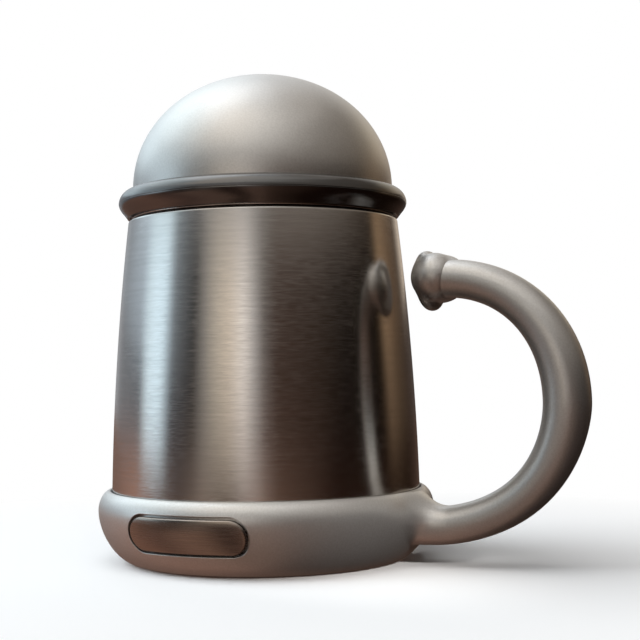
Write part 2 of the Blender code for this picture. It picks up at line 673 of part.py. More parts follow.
def make_base_plate():
    """The cover under the base, with a countersunk seat for each screw."""
    radius = base_opening_radius() - CLEARANCE
    profile = [(0, PLATE_TOP_Z), (radius, PLATE_TOP_Z), (radius, PLATE_BOTTOM_Z), (0, PLATE_BOTTOM_Z)]
    plate = turned("base_plate", profile, finish("grey_plastic", (0.12, 0.12, 0.12), 0.55, 0), closed=False)
    seat_radius = SCREW_HEAD_RADIUS + CLEARANCE
    for number, centre in enumerate(screw_places(), 1):
        seat_low = PLATE_BOTTOM_Z - CUT_OVERRUN
        seat = rod(f"screw_seat_{number}", seat_radius, seat_low, head_top() + CLEARANCE, centre=centre)
        combine(plate, seat, "DIFFERENCE")
        hole_radius = SCREW_RADIUS + CLEARANCE
        hole = rod(f"screw_hole_{number}", hole_radius, seat_low, PLATE_TOP_Z + CUT_OVERRUN, centre=centre)
        combine(plate, hole, "DIFFERENCE")
    return settle(plate)


def head_top():
    """Height of the screw heads' bearing faces, inside the base plate."""
    return PLATE_BOTTOM_Z + SCREW_HEAD_HEIGHT


def make_base_screws():
    """The screws that pull the base plate up against the mount ring's bosses."""
    tip_z = BOSS_HOLE_TOP_Z - SCREW_TIP_ROOM
    profile = [
        (0, tip_z),
        (SCREW_RADIUS - CLEARANCE, tip_z),
        (SCREW_RADIUS, tip_z - SCREW_RADIUS),
        (SCREW_RADIUS, head_top()),
        (SCREW_HEAD_RADIUS, head_top()),
        (SCREW_HEAD_RADIUS, PLATE_BOTTOM_Z),
        (SCREW_SOCKET_RADIUS, PLATE_BOTTOM_Z),
        (SCREW_SOCKET_RADIUS, PLATE_BOTTOM_Z + SCREW_SOCKET_DEPTH),
        (0, PLATE_BOTTOM_Z + SCREW_SOCKET_DEPTH),
    ]
    steel = finish("screw_steel", (0.5, 0.5, 0.49), 0.35, 1)
    for number, (x, y) in enumerate(screw_places(), 1):
        screw = settle(turned(f"base_screw_{number}", profile, steel, closed=False, segments=SMALL_SEGMENTS))
        screw.location = (x, y, 0)


def make_foot_pad():
    """The silicone disc that the mug stands on."""
    radius = base_opening_radius() - CLEARANCE
    profile = [
        (0, PAD_THICKNESS),
        (radius, PAD_THICKNESS),
        (radius, PAD_EDGE_ROUNDING),
        (radius - PAD_EDGE_ROUNDING, 0),
        (0, 0),
    ]
    return settle(turned("foot_pad", profile, finish("silicone", (0.05, 0.05, 0.05), 0.7, 0), closed=False))


# Lid

def lid_guide():
    """The empty that carries the lid, on the line along which it lifts."""
    guide = bpy.data.objects.new("lid_lift_guide", None)
    PARTS.objects.link(guide)
    guide.location = (0, 0, RIM_Z)
    return guide


def above_rim(profile):
    """A profile measured from the rim, where the lid's guide stands."""
    return [(radius, height - RIM_Z) for radius, height in profile]


def make_lid_dome(guide):
    """The domed outer shell of the lid, a quarter ellipse with a short straight foot."""
    profile = curve_points((0, DOME_FOOT_Z), (DOME_FOOT_RADIUS, DOME_RISE), QUARTER_TURN, 0, 9)
    profile[0] = (0, DOME_TOP_Z)
    profile.append((DOME_FOOT_RADIUS, DOME_EDGE_Z))
    satin = finish("dome_silver", (0.55, 0.54, 0.52), 0.33, 0.7)
    dome = turned("lid_dome", above_rim(profile), satin, closed=False, parent=guide)
    return settle(thicken(dome, DOME_WALL))


def make_lid_ring(guide):
    """The dark bead round the dome's foot, gripping the edge of the plug's flange."""
    widest_z = RING_BOTTOM_Z + RING_HEIGHT * RING_WIDEST_SHARE
    foot_radius = BODY_TOP_RADIUS
    lip_inner = PLUG_RADIUS + CLEARANCE
    crown_start = math.acos(RING_LIP_THICKNESS / (RING_RADIUS - RING_BORE_RADIUS))
    crown_radii = (RING_RADIUS - RING_BORE_RADIUS, RING_TOP_Z - widest_z)
    crown = curve_points((RING_BORE_RADIUS, widest_z), crown_radii, crown_start, 0, 4)
    underside_radii = (RING_RADIUS - foot_radius, widest_z - RING_BOTTOM_Z)
    underside = curve_points((foot_radius, widest_z), underside_radii, 0, -QUARTER_TURN, 3)[1:]
    profile = [(RING_BORE_RADIUS, crown[0][1])] + crown + underside
    profile += [
        (lip_inner, RING_BOTTOM_Z),
        (lip_inner, RING_BOTTOM_Z + RING_LIP_THICKNESS),
        (RING_BORE_RADIUS, RING_BOTTOM_Z + RING_LIP_THICKNESS),
    ]
    bead = finish("dark_bead", (0.05, 0.045, 0.04), 0.4, 0)
    return settle(turned("lid_ring", above_rim(profile), bead, parent=guide))


def make_lid_liner(guide):
    """The plug under the dome: a cup with a flange that the ring grips and a groove for the seal."""
    groove_top = FLANGE_BOTTOM_Z - SEAL_BAND_DROP
    groove_low = groove_top - SEAL_BAND_HEIGHT
    inner_radius = SEAL_GROOVE_RADIUS - PLUG_WALL
    profile = [
        (DOME_FOOT_RADIUS, FLANGE_TOP_Z),
        (DOME_FOOT_RADIUS, FLANGE_BOTTOM_Z),
        (PLUG_RADIUS, FLANGE_BOTTOM_Z),
        (PLUG_RADIUS, groove_top),
        (SEAL_GROOVE_RADIUS, groove_top),
        (SEAL_GROOVE_RADIUS, groove_low),
        (PLUG_RADIUS, groove_low),
        (PLUG_RADIUS, PLUG_BOTTOM_Z),
        (0, PLUG_BOTTOM_Z),
        (0, PLUG_BOTTOM_Z + PLUG_FLOOR_THICKNESS),
        (inner_radius, PLUG_BOTTOM_Z + PLUG_FLOOR_THICKNESS),
        (inner_radius, FLANGE_TOP_Z),
    ]
    plastic = finish("dark_plastic", (0.04, 0.04, 0.04), 0.5, 0)
    return settle(turned("lid_liner", above_rim(profile), plastic, parent=guide))


def make_lid_seal(guide):
    """The silicone ring in the plug's groove, with two lips that reach towards the mouth."""
    top = FLANGE_BOTTOM_Z - SEAL_BAND_DROP - CLEARANCE
    low = top - SEAL_BAND_HEIGHT + 2 * CLEARANCE
    inner = SEAL_GROOVE_RADIUS + CLEARANCE
    profile = [
        (SEAL_LIP_RADIUS, top),
        (SEAL_LIP_RADIUS, top - SEAL_LIP_THICKNESS),
        (PLUG_RADIUS, top - SEAL_LIP_THICKNESS),
        (PLUG_RADIUS, low + SEAL_LIP_THICKNESS),
        (SEAL_LIP_RADIUS, low + SEAL_LIP_THICKNESS),
        (SEAL_LIP_RADIUS, low),
        (inner, low),
        (inner, top),
    ]
    silicone = finish("seal_silicone", (0.5, 0.5, 0.48), 0.6, 0)
    return settle(turned("lid_seal", above_rim(profile), silicone, parent=guide))


make_outer_shell()
make_inner_liner()
make_shell_bottom()
make_vacuum_seal()
make_getter()
make_mount_ring()
make_base_shell()
make_base_gasket()
make_handle_tip()
make_base_plate()
make_base_screws()
make_foot_pad()
make_badge_layer(
    "badge_tape",
    BADGE_WIDTH - 2 * BADGE_THICKNESS,
    BADGE_HEIGHT - 2 * BADGE_THICKNESS,
    BADGE_INSET + BADGE_THICKNESS + CLEARANCE,
    BADGE_INSET + BADGE_THICKNESS + CLEARANCE + TAPE_THICKNESS,
    finish("adhesive_foam", (0.02, 0.02, 0.02), 0.9, 0),
)
make_badge_layer(
    "badge",
    BADGE_WIDTH,
    BADGE_HEIGHT,
    BADGE_INSET,
    BADGE_INSET + BADGE_THICKNESS,
    finish("badge_black", (0.03, 0.028, 0.027), 0.25, 0.2),
)
LID_GUIDE = lid_guide()
make_lid_dome(LID_GUIDE)
make_lid_ring(LID_GUIDE)
make_lid_liner(LID_GUIDE)
make_lid_seal(LID_GUIDE)
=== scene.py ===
"""An insulated mug: a double-walled steel body in a moulded base with a C-shaped handle, and a domed lid.

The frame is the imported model's own: the foot stands on z = 0, the handle points to +X, the badge to -Y.
A piece's own sizes are written in millimetres, and MM turns them into the frame's metres.
"""
import functools
import math

import bmesh
import bpy
import numpy as np
from mathutils import Matrix, Vector


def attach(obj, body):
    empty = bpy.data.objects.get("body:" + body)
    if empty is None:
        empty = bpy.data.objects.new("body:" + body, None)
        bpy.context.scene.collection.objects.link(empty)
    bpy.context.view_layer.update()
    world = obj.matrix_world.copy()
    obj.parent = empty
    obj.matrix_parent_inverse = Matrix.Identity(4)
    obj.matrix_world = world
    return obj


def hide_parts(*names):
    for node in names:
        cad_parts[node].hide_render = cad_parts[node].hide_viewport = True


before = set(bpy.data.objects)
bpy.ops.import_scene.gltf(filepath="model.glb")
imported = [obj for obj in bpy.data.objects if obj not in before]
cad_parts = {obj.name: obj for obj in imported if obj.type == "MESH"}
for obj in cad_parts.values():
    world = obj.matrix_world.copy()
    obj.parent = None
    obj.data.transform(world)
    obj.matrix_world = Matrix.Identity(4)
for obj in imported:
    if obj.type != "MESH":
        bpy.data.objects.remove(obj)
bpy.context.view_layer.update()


# Inner vessel: the deep-drawn stainless steel cup that holds the drink. Its neck steps in under the
# mouth, and its edge is rolled out into the lip by which it hangs on the outer body, where the two are
# welded together.
MM = 0.001
TURN_STEPS = 192


def arc(centre, radii, start, end, steps, fullness=2):
    """Points of an upright ellipse between two angles in degrees, squarer above a fullness of two."""
    points = []
    for angle in np.radians(np.linspace(start, end, steps + 1)):
        x = math.copysign(abs(math.cos(angle)) ** (2 / fullness), math.cos(angle))
        z = math.copysign(abs(math.sin(angle)) ** (2 / fullness), math.sin(angle))
        points.append((centre[0] + radii[0] * x, centre[1] + radii[1] * z))
    return points


def eased(outline, rounding, steps=4, bend_from=22):
    """Round the corners of a closed outline, as a mould or a press leaves them."""
    rounded = []
    for i, corner in enumerate(outline):
        here = np.array(corner, float)
        back = np.array(outline[i - 1], float) - here
        ahead = np.array(outline[(i + 1) % len(outline)], float) - here
        room = min(np.linalg.norm(back), np.linalg.norm(ahead))
        back /= max(np.linalg.norm(back), 1e-9)
        ahead /= max(np.linalg.norm(ahead), 1e-9)
        bend = math.pi - math.acos(max(-1, min(1, float(back @ ahead))))
        if here[0] < 1e-6 or math.degrees(bend) < bend_from:
            rounded.append(tuple(here))
            continue
        reach = min(rounding * math.tan(bend / 2), 0.45 * room)
        start, end = here + back * reach, here + ahead * reach
        for t in np.linspace(0, 1, steps + 1):
            rounded.append(tuple((1 - t) ** 2 * start + 2 * t * (1 - t) * here + t * t * end))
    return rounded


def mesh_of(name, points, faces):
    """A mesh from its points and faces."""
    mesh = bpy.data.meshes.new(name)
    mesh.from_pydata(points, [], faces)
    return mesh


def shown(name, data):
    """Put a new object in the scene."""
    thing = bpy.data.objects.new(name, data)
    bpy.context.scene.collection.objects.link(thing)
    return thing


def in_place(name, mesh, finish, crease=30):
    """Put a finished mesh in the scene, smooth but for its creases."""
    mesh.shade_smooth()
    mesh.set_sharp_from_angle(angle=math.radians(crease))
    mesh.materials.clear()
    mesh.materials.append(finish)
    return shown(name, mesh)


def turned_mesh(name, outline, steps=TURN_STEPS):
    """Spin a closed outline of (radius, height) in millimetres round the mug's axis into a closed mesh."""
    ring = np.array(outline)
    area = np.sum(ring[:, 0] * np.roll(ring[:, 1], -1) - np.roll(ring[:, 0], -1) * ring[:, 1])
    if area < 0:
        outline = outline[::-1]
    angles = np.arange(steps) * 2 * math.pi / steps
    points, rows = [], []
    for radius, height in outline:
        if radius < 1e-6:
            rows.append([len(points)] * steps)
            points.append((0, 0, height * MM))
        else:
            rows.append(list(range(len(points), len(points) + steps)))
            points += [(radius * MM * math.cos(a), radius * MM * math.sin(a), height * MM) for a in angles]
    faces = []
    for lower, upper in zip(rows, rows[1:] + rows[:1]):
        for i in range(steps):
            j = (i + 1) % steps
            face = list(dict.fromkeys((lower[i], lower[j], upper[j], upper[i])))
            if len(face) > 2:
                faces.append(face)
    return mesh_of(name, points, faces)


def filled(node, values):
    """Put plain values on a node's own sockets."""
    for socket, value in values.items():
        node.inputs[socket].default_value = value
    return node


def new_finish(name, colour, metal, roughness):
    """A material with its colour, metal and roughness, its tree and its shader."""
    finish = bpy.data.materials.new(name)
    finish.use_nodes = True
    shader = finish.node_tree.nodes["Principled BSDF"]
    filled(shader, {"Base Color": (*colour, 1), "Metallic": metal, "Roughness": roughness})
    return finish, finish.node_tree, shader


def marks(tree, per_metre, detail=2):
    """A noise over the piece with so many marks to the metre, the same every way or along each axis."""
    where = tree.nodes.new("ShaderNodeTexCoord")
    per_axis = [per_metre] * 3 if np.isscalar(per_metre) else per_metre
    spread = filled(tree.nodes.new("ShaderNodeMapping"), {"Scale": per_axis})
    noise = filled(tree.nodes.new("ShaderNodeTexNoise"), {"Scale": 1, "Detail": detail})
    tree.links.new(where.outputs["Object"], spread.inputs["Vector"])
    tree.links.new(spread.outputs["Vector"], noise.inputs["Vector"])
    return noise.outputs["Fac"]


def stretched(tree, value, low, high, from_low=0.3, from_high=0.7):
    """Turn a noise's middle range into a range of a shader value."""
    ranges = {"From Min": from_low, "From Max": from_high, "To Min": low, "To Max": high}
    scale = filled(tree.nodes.new("ShaderNodeMapRange"), ranges)
    tree.links.new(value, scale.inputs["Value"])
    return scale.outputs["Result"]


def worked(tree, shader, relief, rough=None, tint=None):
    """Let noises work a finish: fine relief of (noise, height in millimetres) layers, (noise, low, high) of
    roughness, and (noise, dark, light) of colour, where the noise's own range may follow."""
    below = None
    for value, height in relief:
        bump = filled(tree.nodes.new("ShaderNodeBump"), {"Strength": 1, "Distance": height * MM})
        tree.links.new(value, bump.inputs["Height"])
        if below is not None:
            tree.links.new(below, bump.inputs["Normal"])
        below = bump.outputs["Normal"]
    tree.links.new(below, shader.inputs["Normal"])
    if rough:
        tree.links.new(stretched(tree, *rough), shader.inputs["Roughness"])
    if tint:
        value, dark, light, *noise_range = tint
        mix = tree.nodes.new("ShaderNodeMix")
        mix.data_type = "RGBA"
        filled(mix, {"A": (*dark, 1), "B": (*light, 1)})
        tree.links.new(stretched(tree, value, 0, 1, *noise_range), mix.inputs["Factor"])
        tree.links.new(mix.outputs["Result"], shader.inputs["Base Color"])


BODY_FOOT_R, BODY_TOP_R, BODY_BULGE = 47.3, 41.7, 0.95
TAPER_START, BODY_TOP = 21.9, 104.0


def body_radius(z):
    """Outer radius of the steel body at a height: straight in the base, then a gently bellied taper."""
    t = max(z - TAPER_START, 0) / (BODY_TOP - TAPER_START)
    return BODY_FOOT_R + (BODY_TOP_R - BODY_FOOT_R) * t + 4 * BODY_BULGE * t * (1 - t)


STEEL_WALL, VESSEL_INSET, FLOOR_LOW, CORNER_R = 0.6, 3.6, 22.8, 10
LIP_R, LIP_Z, LIP_THICK, NECK_R, NECK_HIGH, NECK_LOW = 40.7, 105.1, 0.8, 39.5, 92, 80
neck_foot_r = body_radius(NECK_LOW) - VESSEL_INSET
neck = [(NECK_R + (neck_foot_r - NECK_R) * (3 * t * t - 2 * t ** 3), NECK_HIGH - (NECK_HIGH - NECK_LOW) * t)
        for t in np.linspace(0, 1, 9)]
barrel = [(body_radius(z) - VESSEL_INSET, z) for z in np.linspace(NECK_LOW, FLOOR_LOW + CORNER_R, 9)[1:]]
corner, inner_r = (barrel[-1][0] - CORNER_R, FLOOR_LOW + CORNER_R), CORNER_R - STEEL_WALL
outside = [(LIP_R, LIP_Z), (LIP_R, LIP_Z - LIP_THICK), (NECK_R, LIP_Z - LIP_THICK)] + neck + barrel
outside += arc(corner, (CORNER_R, CORNER_R), 0, -90, 10)[1:]
inside = [(0, FLOOR_LOW + STEEL_WALL)] + arc(corner, (inner_r, inner_r), -90, 0, 10)[:-1]
inside += [(r - STEEL_WALL, z) for r, z in reversed(neck + barrel)]
outline = eased(outside + [(0, FLOOR_LOW)] + inside + [(NECK_R - STEEL_WALL, LIP_Z)], 0.36)

vessel_steel, tree, shader = new_finish("vessel_steel", (0.66, 0.65, 0.63), 1, 0.2)
filled(shader, {"Anisotropic": 0.4})
rings, patches = marks(tree, (70, 70, 1500), 3), marks(tree, (30, 30, 60))
worked(tree, shader, [(rings, 0.004)], (rings, 0.16, 0.28), (patches, (0.6, 0.59, 0.57), (0.7, 0.69, 0.67)))

vessel = in_place("inner_vessel", turned_mesh("inner_vessel", outline), vessel_steel)
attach(vessel, "mug")
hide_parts("inner_liner")


# Vacuum space: the getter button, the plate that closes the space from below and the bead that seals the
# hole in it. The plate is pressed from plain steel and welded in, so it keeps its mill scale and a heat
# tint.
def dressed(node, finish):
    """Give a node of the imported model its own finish."""
    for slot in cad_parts[node].material_slots:
        slot.material = finish


plate_steel, tree, shader = new_finish("plate_steel", (0.42, 0.4, 0.37), 1, 0.38)
scale, rolled = marks(tree, 160, 6), marks(tree, (900, 40, 900), 3)
worked(tree, shader, [(scale, 0.01)], (rolled, 0.3, 0.46), (scale, (0.3, 0.27, 0.24), (0.5, 0.48, 0.46)))
dressed("shell_bottom", plate_steel)

getter_sinter, tree, shader = new_finish("getter_sinter", (0.16, 0.15, 0.15), 0.7, 0.75)
grit = marks(tree, 5200, 4)
worked(tree, shader, [(grit, 0.03)], None, (grit, (0.09, 0.085, 0.085), (0.24, 0.23, 0.22)))
dressed("getter", getter_sinter)

solder_tin, tree, shader = new_finish("solder_tin", (0.6, 0.6, 0.61), 1, 0.3)
ripple = marks(tree, 700, 3)
worked(tree, shader, [(ripple, 0.02)], (ripple, 0.22, 0.42))
dressed("vacuum_seal", solder_tin)


# Outer body: the brushed stainless steel wall, drawn to a gently bellied taper and brushed round and
# round on a lathe. Its top edge is rolled in under the vessel's lip. Geometry Nodes turn the barrel by
# this rule.
def calc(tree, operation, *values):
    """Add a Math node on sockets or plain numbers."""
    node = tree.nodes.new("ShaderNodeMath")
    node.operation = operation
    for socket, value in zip(node.inputs, values):
        if isinstance(value, bpy.types.NodeSocket):
            tree.links.new(value, socket)
        else:
            socket.default_value = value
    return node.outputs[0]


def sized_tree(name, sizes, start=None):
    """A Geometry Nodes tree with named sizes. The sizes' identifiers and values come with it."""
    tree = bpy.data.node_groups.new(name, "GeometryNodeTree")
    tree.is_modifier = True
    if start:
        tree.interface.new_socket(name=start, in_out="INPUT", socket_type="NodeSocketGeometry")
    values = {}
    for size, value in sizes.items():
        kind = "NodeSocketInt" if isinstance(value, int) else "NodeSocketFloat"
        socket = tree.interface.new_socket(name=size, in_out="INPUT", socket_type=kind)
        socket.default_value = value
        values[socket.identifier] = value
    tree.interface.new_socket(name="Geometry", in_out="OUTPUT", socket_type="NodeSocketGeometry")
    return tree, values


def ended(tree, geometry, finish):
    """End a tree in real geometry that wears its finish."""
    whole = tree.nodes.new("GeometryNodeRealizeInstances")
    tree.links.new(geometry, whole.inputs["Geometry"])
    clad = filled(tree.nodes.new("GeometryNodeSetMaterial"), {"Material": finish})
    tree.links.new(whole.outputs["Geometry"], clad.inputs["Geometry"])
    tree.links.new(clad.outputs["Geometry"], tree.nodes.new("NodeGroupOutput").inputs["Geometry"])


def grown(name, tree, values, start=None):
    """Run a Geometry Nodes tree once with its sizes and return the plain mesh."""
    carrier = shown(name, start or bpy.data.meshes.new(name))
    modifier = carrier.modifiers.new("shape", "NODES")
    modifier.node_group = tree
    for identifier, value in values.items():
        modifier[identifier] = value
    carrier.update_tag()
    bpy.context.view_layer.update()
    evaluated = carrier.evaluated_get(bpy.context.evaluated_depsgraph_get())
    mesh = bpy.data.meshes.new_from_object(evaluated)
    bpy.data.objects.remove(carrier)
    mesh.name = name
    return mesh


brushed_steel, tree, shader = new_finish("brushed_steel", (0.6, 0.58, 0.56), 1, 0.3)
filled(shader, {"Anisotropic": 0.5, "Anisotropic Rotation": 0.25})
around = tree.nodes.new("ShaderNodeTangent")
around.direction_type = "RADIAL"
around.axis = "Z"
tree.links.new(around.outputs["Tangent"], shader.inputs["Tangent"])
hairlines, bands = marks(tree, (300, 300, 2800), 3), marks(tree, (40, 40, 1100))
worked(tree, shader, [(bands, 0.0012), (hairlines, 0.005)], (hairlines, 0.15, 0.25),
       (bands, (0.57, 0.555, 0.535), (0.62, 0.6, 0.58)))

BODY_SEAT, EDGE_ROLL, STEPS_HIGH = 15.0, 0.8, 90
barrel_tree, barrel_sizes = sized_tree("bellied_barrel", {
    "Steps Round": TURN_STEPS + 1,
    "Steps High": STEPS_HIGH,
    "Foot Radius": BODY_FOOT_R * MM,
    "Top Radius": BODY_TOP_R * MM,
    "Belly": BODY_BULGE * MM,
    "Seat Height": BODY_SEAT * MM,
    "Taper Start": TAPER_START * MM,
    "Top Height": BODY_TOP * MM,
    "Edge Roll": EDGE_ROLL * MM,
})
given = barrel_tree.nodes.new("NodeGroupInput").outputs
do, join = functools.partial(calc, barrel_tree), barrel_tree.links.new
sheet = filled(barrel_tree.nodes.new("GeometryNodeMeshGrid"), {"Size X": 1, "Size Y": 1})
join(given["Steps Round"], sheet.inputs["Vertices X"])
join(given["Steps High"], sheet.inputs["Vertices Y"])
spot = barrel_tree.nodes.new("ShaderNodeSeparateXYZ")
join(barrel_tree.nodes.new("GeometryNodeInputPosition").outputs[0], spot.inputs[0])
angle = do("MULTIPLY", spot.outputs["X"], 2 * math.pi)
down = do("POWER", do("SUBTRACT", 0.5, spot.outputs["Y"]), 2)
drop = do("MULTIPLY", down, do("SUBTRACT", given["Top Height"], given["Seat Height"]))
height = do("SUBTRACT", given["Top Height"], drop)
above = do("MAXIMUM", do("SUBTRACT", height, given["Taper Start"]), 0)
share = do("DIVIDE", above, do("SUBTRACT", given["Top Height"], given["Taper Start"]))
taper = do("MULTIPLY", share, do("SUBTRACT", given["Top Radius"], given["Foot Radius"]))
bow = do("MULTIPLY", do("MULTIPLY", share, 4), do("SUBTRACT", 1, share))
wall = do("ADD", do("ADD", given["Foot Radius"], taper), do("MULTIPLY", bow, given["Belly"]))
into_roll = do("MAXIMUM", do("SUBTRACT", given["Edge Roll"], drop), 0)
roll_square = do("MULTIPLY", given["Edge Roll"], given["Edge Roll"])
roll_reach = do("SQRT", do("MAXIMUM", do("SUBTRACT", roll_square, do("MULTIPLY", into_roll, into_roll)), 0))
radius = do("SUBTRACT", wall, do("SUBTRACT", given["Edge Roll"], roll_reach))
goal = barrel_tree.nodes.new("ShaderNodeCombineXYZ")
join(do("MULTIPLY", radius, do("COSINE", angle)), goal.inputs["X"])
join(do("MULTIPLY", radius, do("SINE", angle)), goal.inputs["Y"])
join(height, goal.inputs["Z"])
curled = barrel_tree.nodes.new("GeometryNodeSetPosition")
join(sheet.outputs["Mesh"], curled.inputs["Geometry"])
join(goal.outputs[0], curled.inputs["Position"])
welded = filled(barrel_tree.nodes.new("GeometryNodeMergeByDistance"), {"Distance": 1e-6})
join(curled.outputs["Geometry"], welded.inputs["Geometry"])
ended(barrel_tree, welded.outputs["Geometry"], brushed_steel)


def outward(mesh):
    """Point an open wall's faces away from the mug's axis."""
    shape = bmesh.new()
    shape.from_mesh(mesh)
    turned_in = [f for f in shape.faces if f.normal.dot(Vector((*f.calc_center_median().xy, 0))) < 0]
    bmesh.ops.reverse_faces(shape, faces=turned_in)
    shape.to_mesh(mesh)
    shape.free()
    return mesh


steel_body = in_place("steel_body", outward(grown("steel_body", barrel_tree, barrel_sizes)), brushed_steel)
wall_thickness = steel_body.modifiers.new("wall", "SOLIDIFY")
wall_thickness.thickness = STEEL_WALL * MM
wall_thickness.offset = -1
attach(steel_body, "mug")
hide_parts("outer_shell")


# Mount ring: the pressed steel ring with four threaded bosses that is spot-welded under the body, which
# the base's screws pull against. It has the closing plate's mill finish.
dressed("mount_ring", plate_steel)


# Base with handle: one aluminium-filled moulding, sprayed with a satin silver lacquer. The round base
# swells out round the steel, and the C-shaped handle grows out of its side through a soft fillet.
BASE_R, WIDEST, SHOULDER, FOOT_R = 51.5, 15.65, 4.2, 40.5
LIP_TOP, LIP_BORE, FOOT_RIM, FULLNESS = 21.65, 47.8, 0.5, 1.74
SIDE_TOP, SIDE_LOW, FAR = 26.0, -4.0, 1e9

upper_side = arc((BODY_FOOT_R, WIDEST), (SHOULDER, TAPER_START - WIDEST), 90, 0, 60)
lower_side = arc((FOOT_R, WIDEST), (BASE_R - FOOT_R, WIDEST), 0, -88, 120, FULLNESS)
side = [(BODY_FOOT_R, SIDE_TOP)] + upper_side + lower_side[1:] + [(lower_side[-1][0], SIDE_LOW)]
side = np.array(side)


def base_radius(z):
    """Outer radius of the base at a height or at many heights."""
    return np.interp(z, side[::-1, 1], side[::-1, 0])


def field(low, high, step, distance):
    """Work out a distance over a plane once, and look it up later by straight interpolation."""
    us = np.arange(low[0], high[0] + step, step)
    vs = np.arange(low[1], high[1] + step, step)
    plane = distance(*np.meshgrid(us, vs, indexing="ij"))

    def look_up(u, v):
        x = np.clip((u - low[0]) / step, 0, len(us) - 1.001)
        y = np.clip((v - low[1]) / step, 0, len(vs) - 1.001)
        i, j = x.astype(int), y.astype(int)
        a, b = x - i, y - j
        low_row = plane[i, j] * (1 - b) + plane[i, j + 1] * b
        high_row = plane[i + 1, j] * (1 - b) + plane[i + 1, j + 1] * b
        return low_row * (1 - a) + high_row * a
    return look_up


def line_distance(line, u, v):
    """Distance in a plane from a line of many straight runs."""
    best = np.full(u.shape, FAR)
    for (u0, v0), (u1, v1) in zip(line[:-1], line[1:]):
        du, dv = u1 - u0, v1 - v0
        t = np.clip(((u - u0) * du + (v - v0) * dv) / (du * du + dv * dv), 0, 1)
        best = np.minimum(best, (u - u0 - t * du) ** 2 + (v - v0 - t * dv) ** 2)
    return np.sqrt(best)


def side_distance(radius, height):
    """Signed distance from the base's side, in its own half plane."""
    return np.where(radius < base_radius(height), -1, 1) * line_distance(side, radius, height)


# Each knot of the handle's centre line: its place, the two arms of its curve and the handle's radius there.
HANDLE_KNOTS = [
    ((44.0, 13.5), (38.17, 13.5), (49.83, 13.5), 7.6),
    ((61.5, 12.3), (55.76, 11.24), (92.07, 17.56), 5.55),
    ((95.3, 47.6), (95.3, 42.24), (95.3, 67.4), 6.8),
    ((60.98, 83.6), (81.56, 82.88), (59.7, 83.64), 5.6),
    ((57.2, 83.73), (58.5, 83.69), (56.0, 83.77), 5.6),
]


def handle_path(steps):
    """The handle's centre line and thickness, from its root in the base to its end under the knob."""
    places, thickness = [], []
    t = np.linspace(0, 1, steps)[:, None]
    for (p0, _, p1, r0), (p3, p2, _, r1) in zip(HANDLE_KNOTS[:-1], HANDLE_KNOTS[1:]):
        p0, p1, p2, p3 = np.array((p0, p1, p2, p3))
        places.append((1 - t) ** 3 * p0 + 3 * t * (1 - t) ** 2 * p1 + 3 * t * t * (1 - t) * p2 + t ** 3 * p3)
        thickness.append(r0 + (r1 - r0) * (3 * t[:, 0] ** 2 - 2 * t[:, 0] ** 3))
    return np.vstack(places), np.concatenate(thickness)


path, thickness = handle_path(120)


def nearest_on_path(x, z):
    """How far each place is from the handle's centre line, squared, and which of its points is nearest."""
    best = np.full(x.shape, FAR)
    pick = np.zeros(x.shape, int)
    for i, (px, pz) in enumerate(path):
        away = (x - px) ** 2 + (z - pz) ** 2
        pick = np.where(away < best, i, pick)
        best = np.minimum(best, away)
    return best, pick


BASE_WINDOW, HANDLE_WINDOW = ((0, -8), (80, 40), 0.2), ((25, -6), (112, 98), 0.4)
side_field = field(*BASE_WINDOW, side_distance)
path_field = field(*HANDLE_WINDOW, lambda x, z: np.sqrt(nearest_on_path(x, z)[0]))
thickness_field = field(*HANDLE_WINDOW, lambda x, z: thickness[nearest_on_path(x, z)[1]])


def blended(a, b, reach):
    """Join two distances with a fillet of a given reach."""
    h = np.clip(0.5 + 0.5 * (b - a) / reach, 0, 1)
    return b + (a - b) * h - reach * h * (1 - h)


FILLET_HEIGHTS, FILLET_REACHES, HANDLE_FROM = (6.5, 13), (0.9, 6.0), 30


def base_and_handle(p):
    """Signed distance from the moulding, with its fillet soft above and almost sharp near the foot."""
    x, y, z = p.T
    base = side_field(np.hypot(x, y), z)
    handle = np.sqrt(path_field(x, z) ** 2 + y * y) - thickness_field(x, z)
    reach = np.interp(z, FILLET_HEIGHTS, FILLET_REACHES)
    return np.where(x > HANDLE_FROM, blended(base, handle, reach), base)


def merged(name, meshes):
    """One mesh of several."""
    shape = bmesh.new()
    for mesh in meshes:
        shape.from_mesh(mesh)
    whole = bpy.data.meshes.new(name)
    shape.to_mesh(whole)
    shape.free()
    return whole


def skinned(name, seeds, distance, voxel, passes=4, nudge=0.03, longest_step=1.5, least_slope=0.2):
    """Shrink a fine skin on to a form that is given by its distance. Seeds are rough closed meshes of it."""
    blank = shown(name + "_rough", merged(name + "_rough", seeds))
    remesh = blank.modifiers.new("skin", "REMESH")
    remesh.mode = "VOXEL"
    remesh.voxel_size = voxel * MM
    skin = bpy.data.meshes.new_from_object(blank.evaluated_get(bpy.context.evaluated_depsgraph_get()))
    bpy.data.objects.remove(blank)
    points = np.zeros(len(skin.vertices) * 3)
    skin.vertices.foreach_get("co", points)
    points = points.reshape(-1, 3) / MM
    for _ in range(passes):
        gap = np.clip(distance(points), -longest_step, longest_step)
        slope = np.stack([(distance(points + step) - distance(points - step)) / (2 * nudge)
                          for step in np.eye(3) * nudge], 1)
        steep = np.maximum((slope ** 2).sum(1), least_slope)
        points -= (gap / steep)[:, None] * slope
    skin.vertices.foreach_set("co", (points * MM).ravel())
    skin.update()
    skin.name = name
    return skin


def banded(rows, count):
    """Faces between closed rows of so many points each."""
    return [(row * count + i, row * count + j, (row + 1) * count + j, (row + 1) * count + i)
            for row in range(rows - 1) for i, j in zip(range(count), [*range(1, count), 0])]


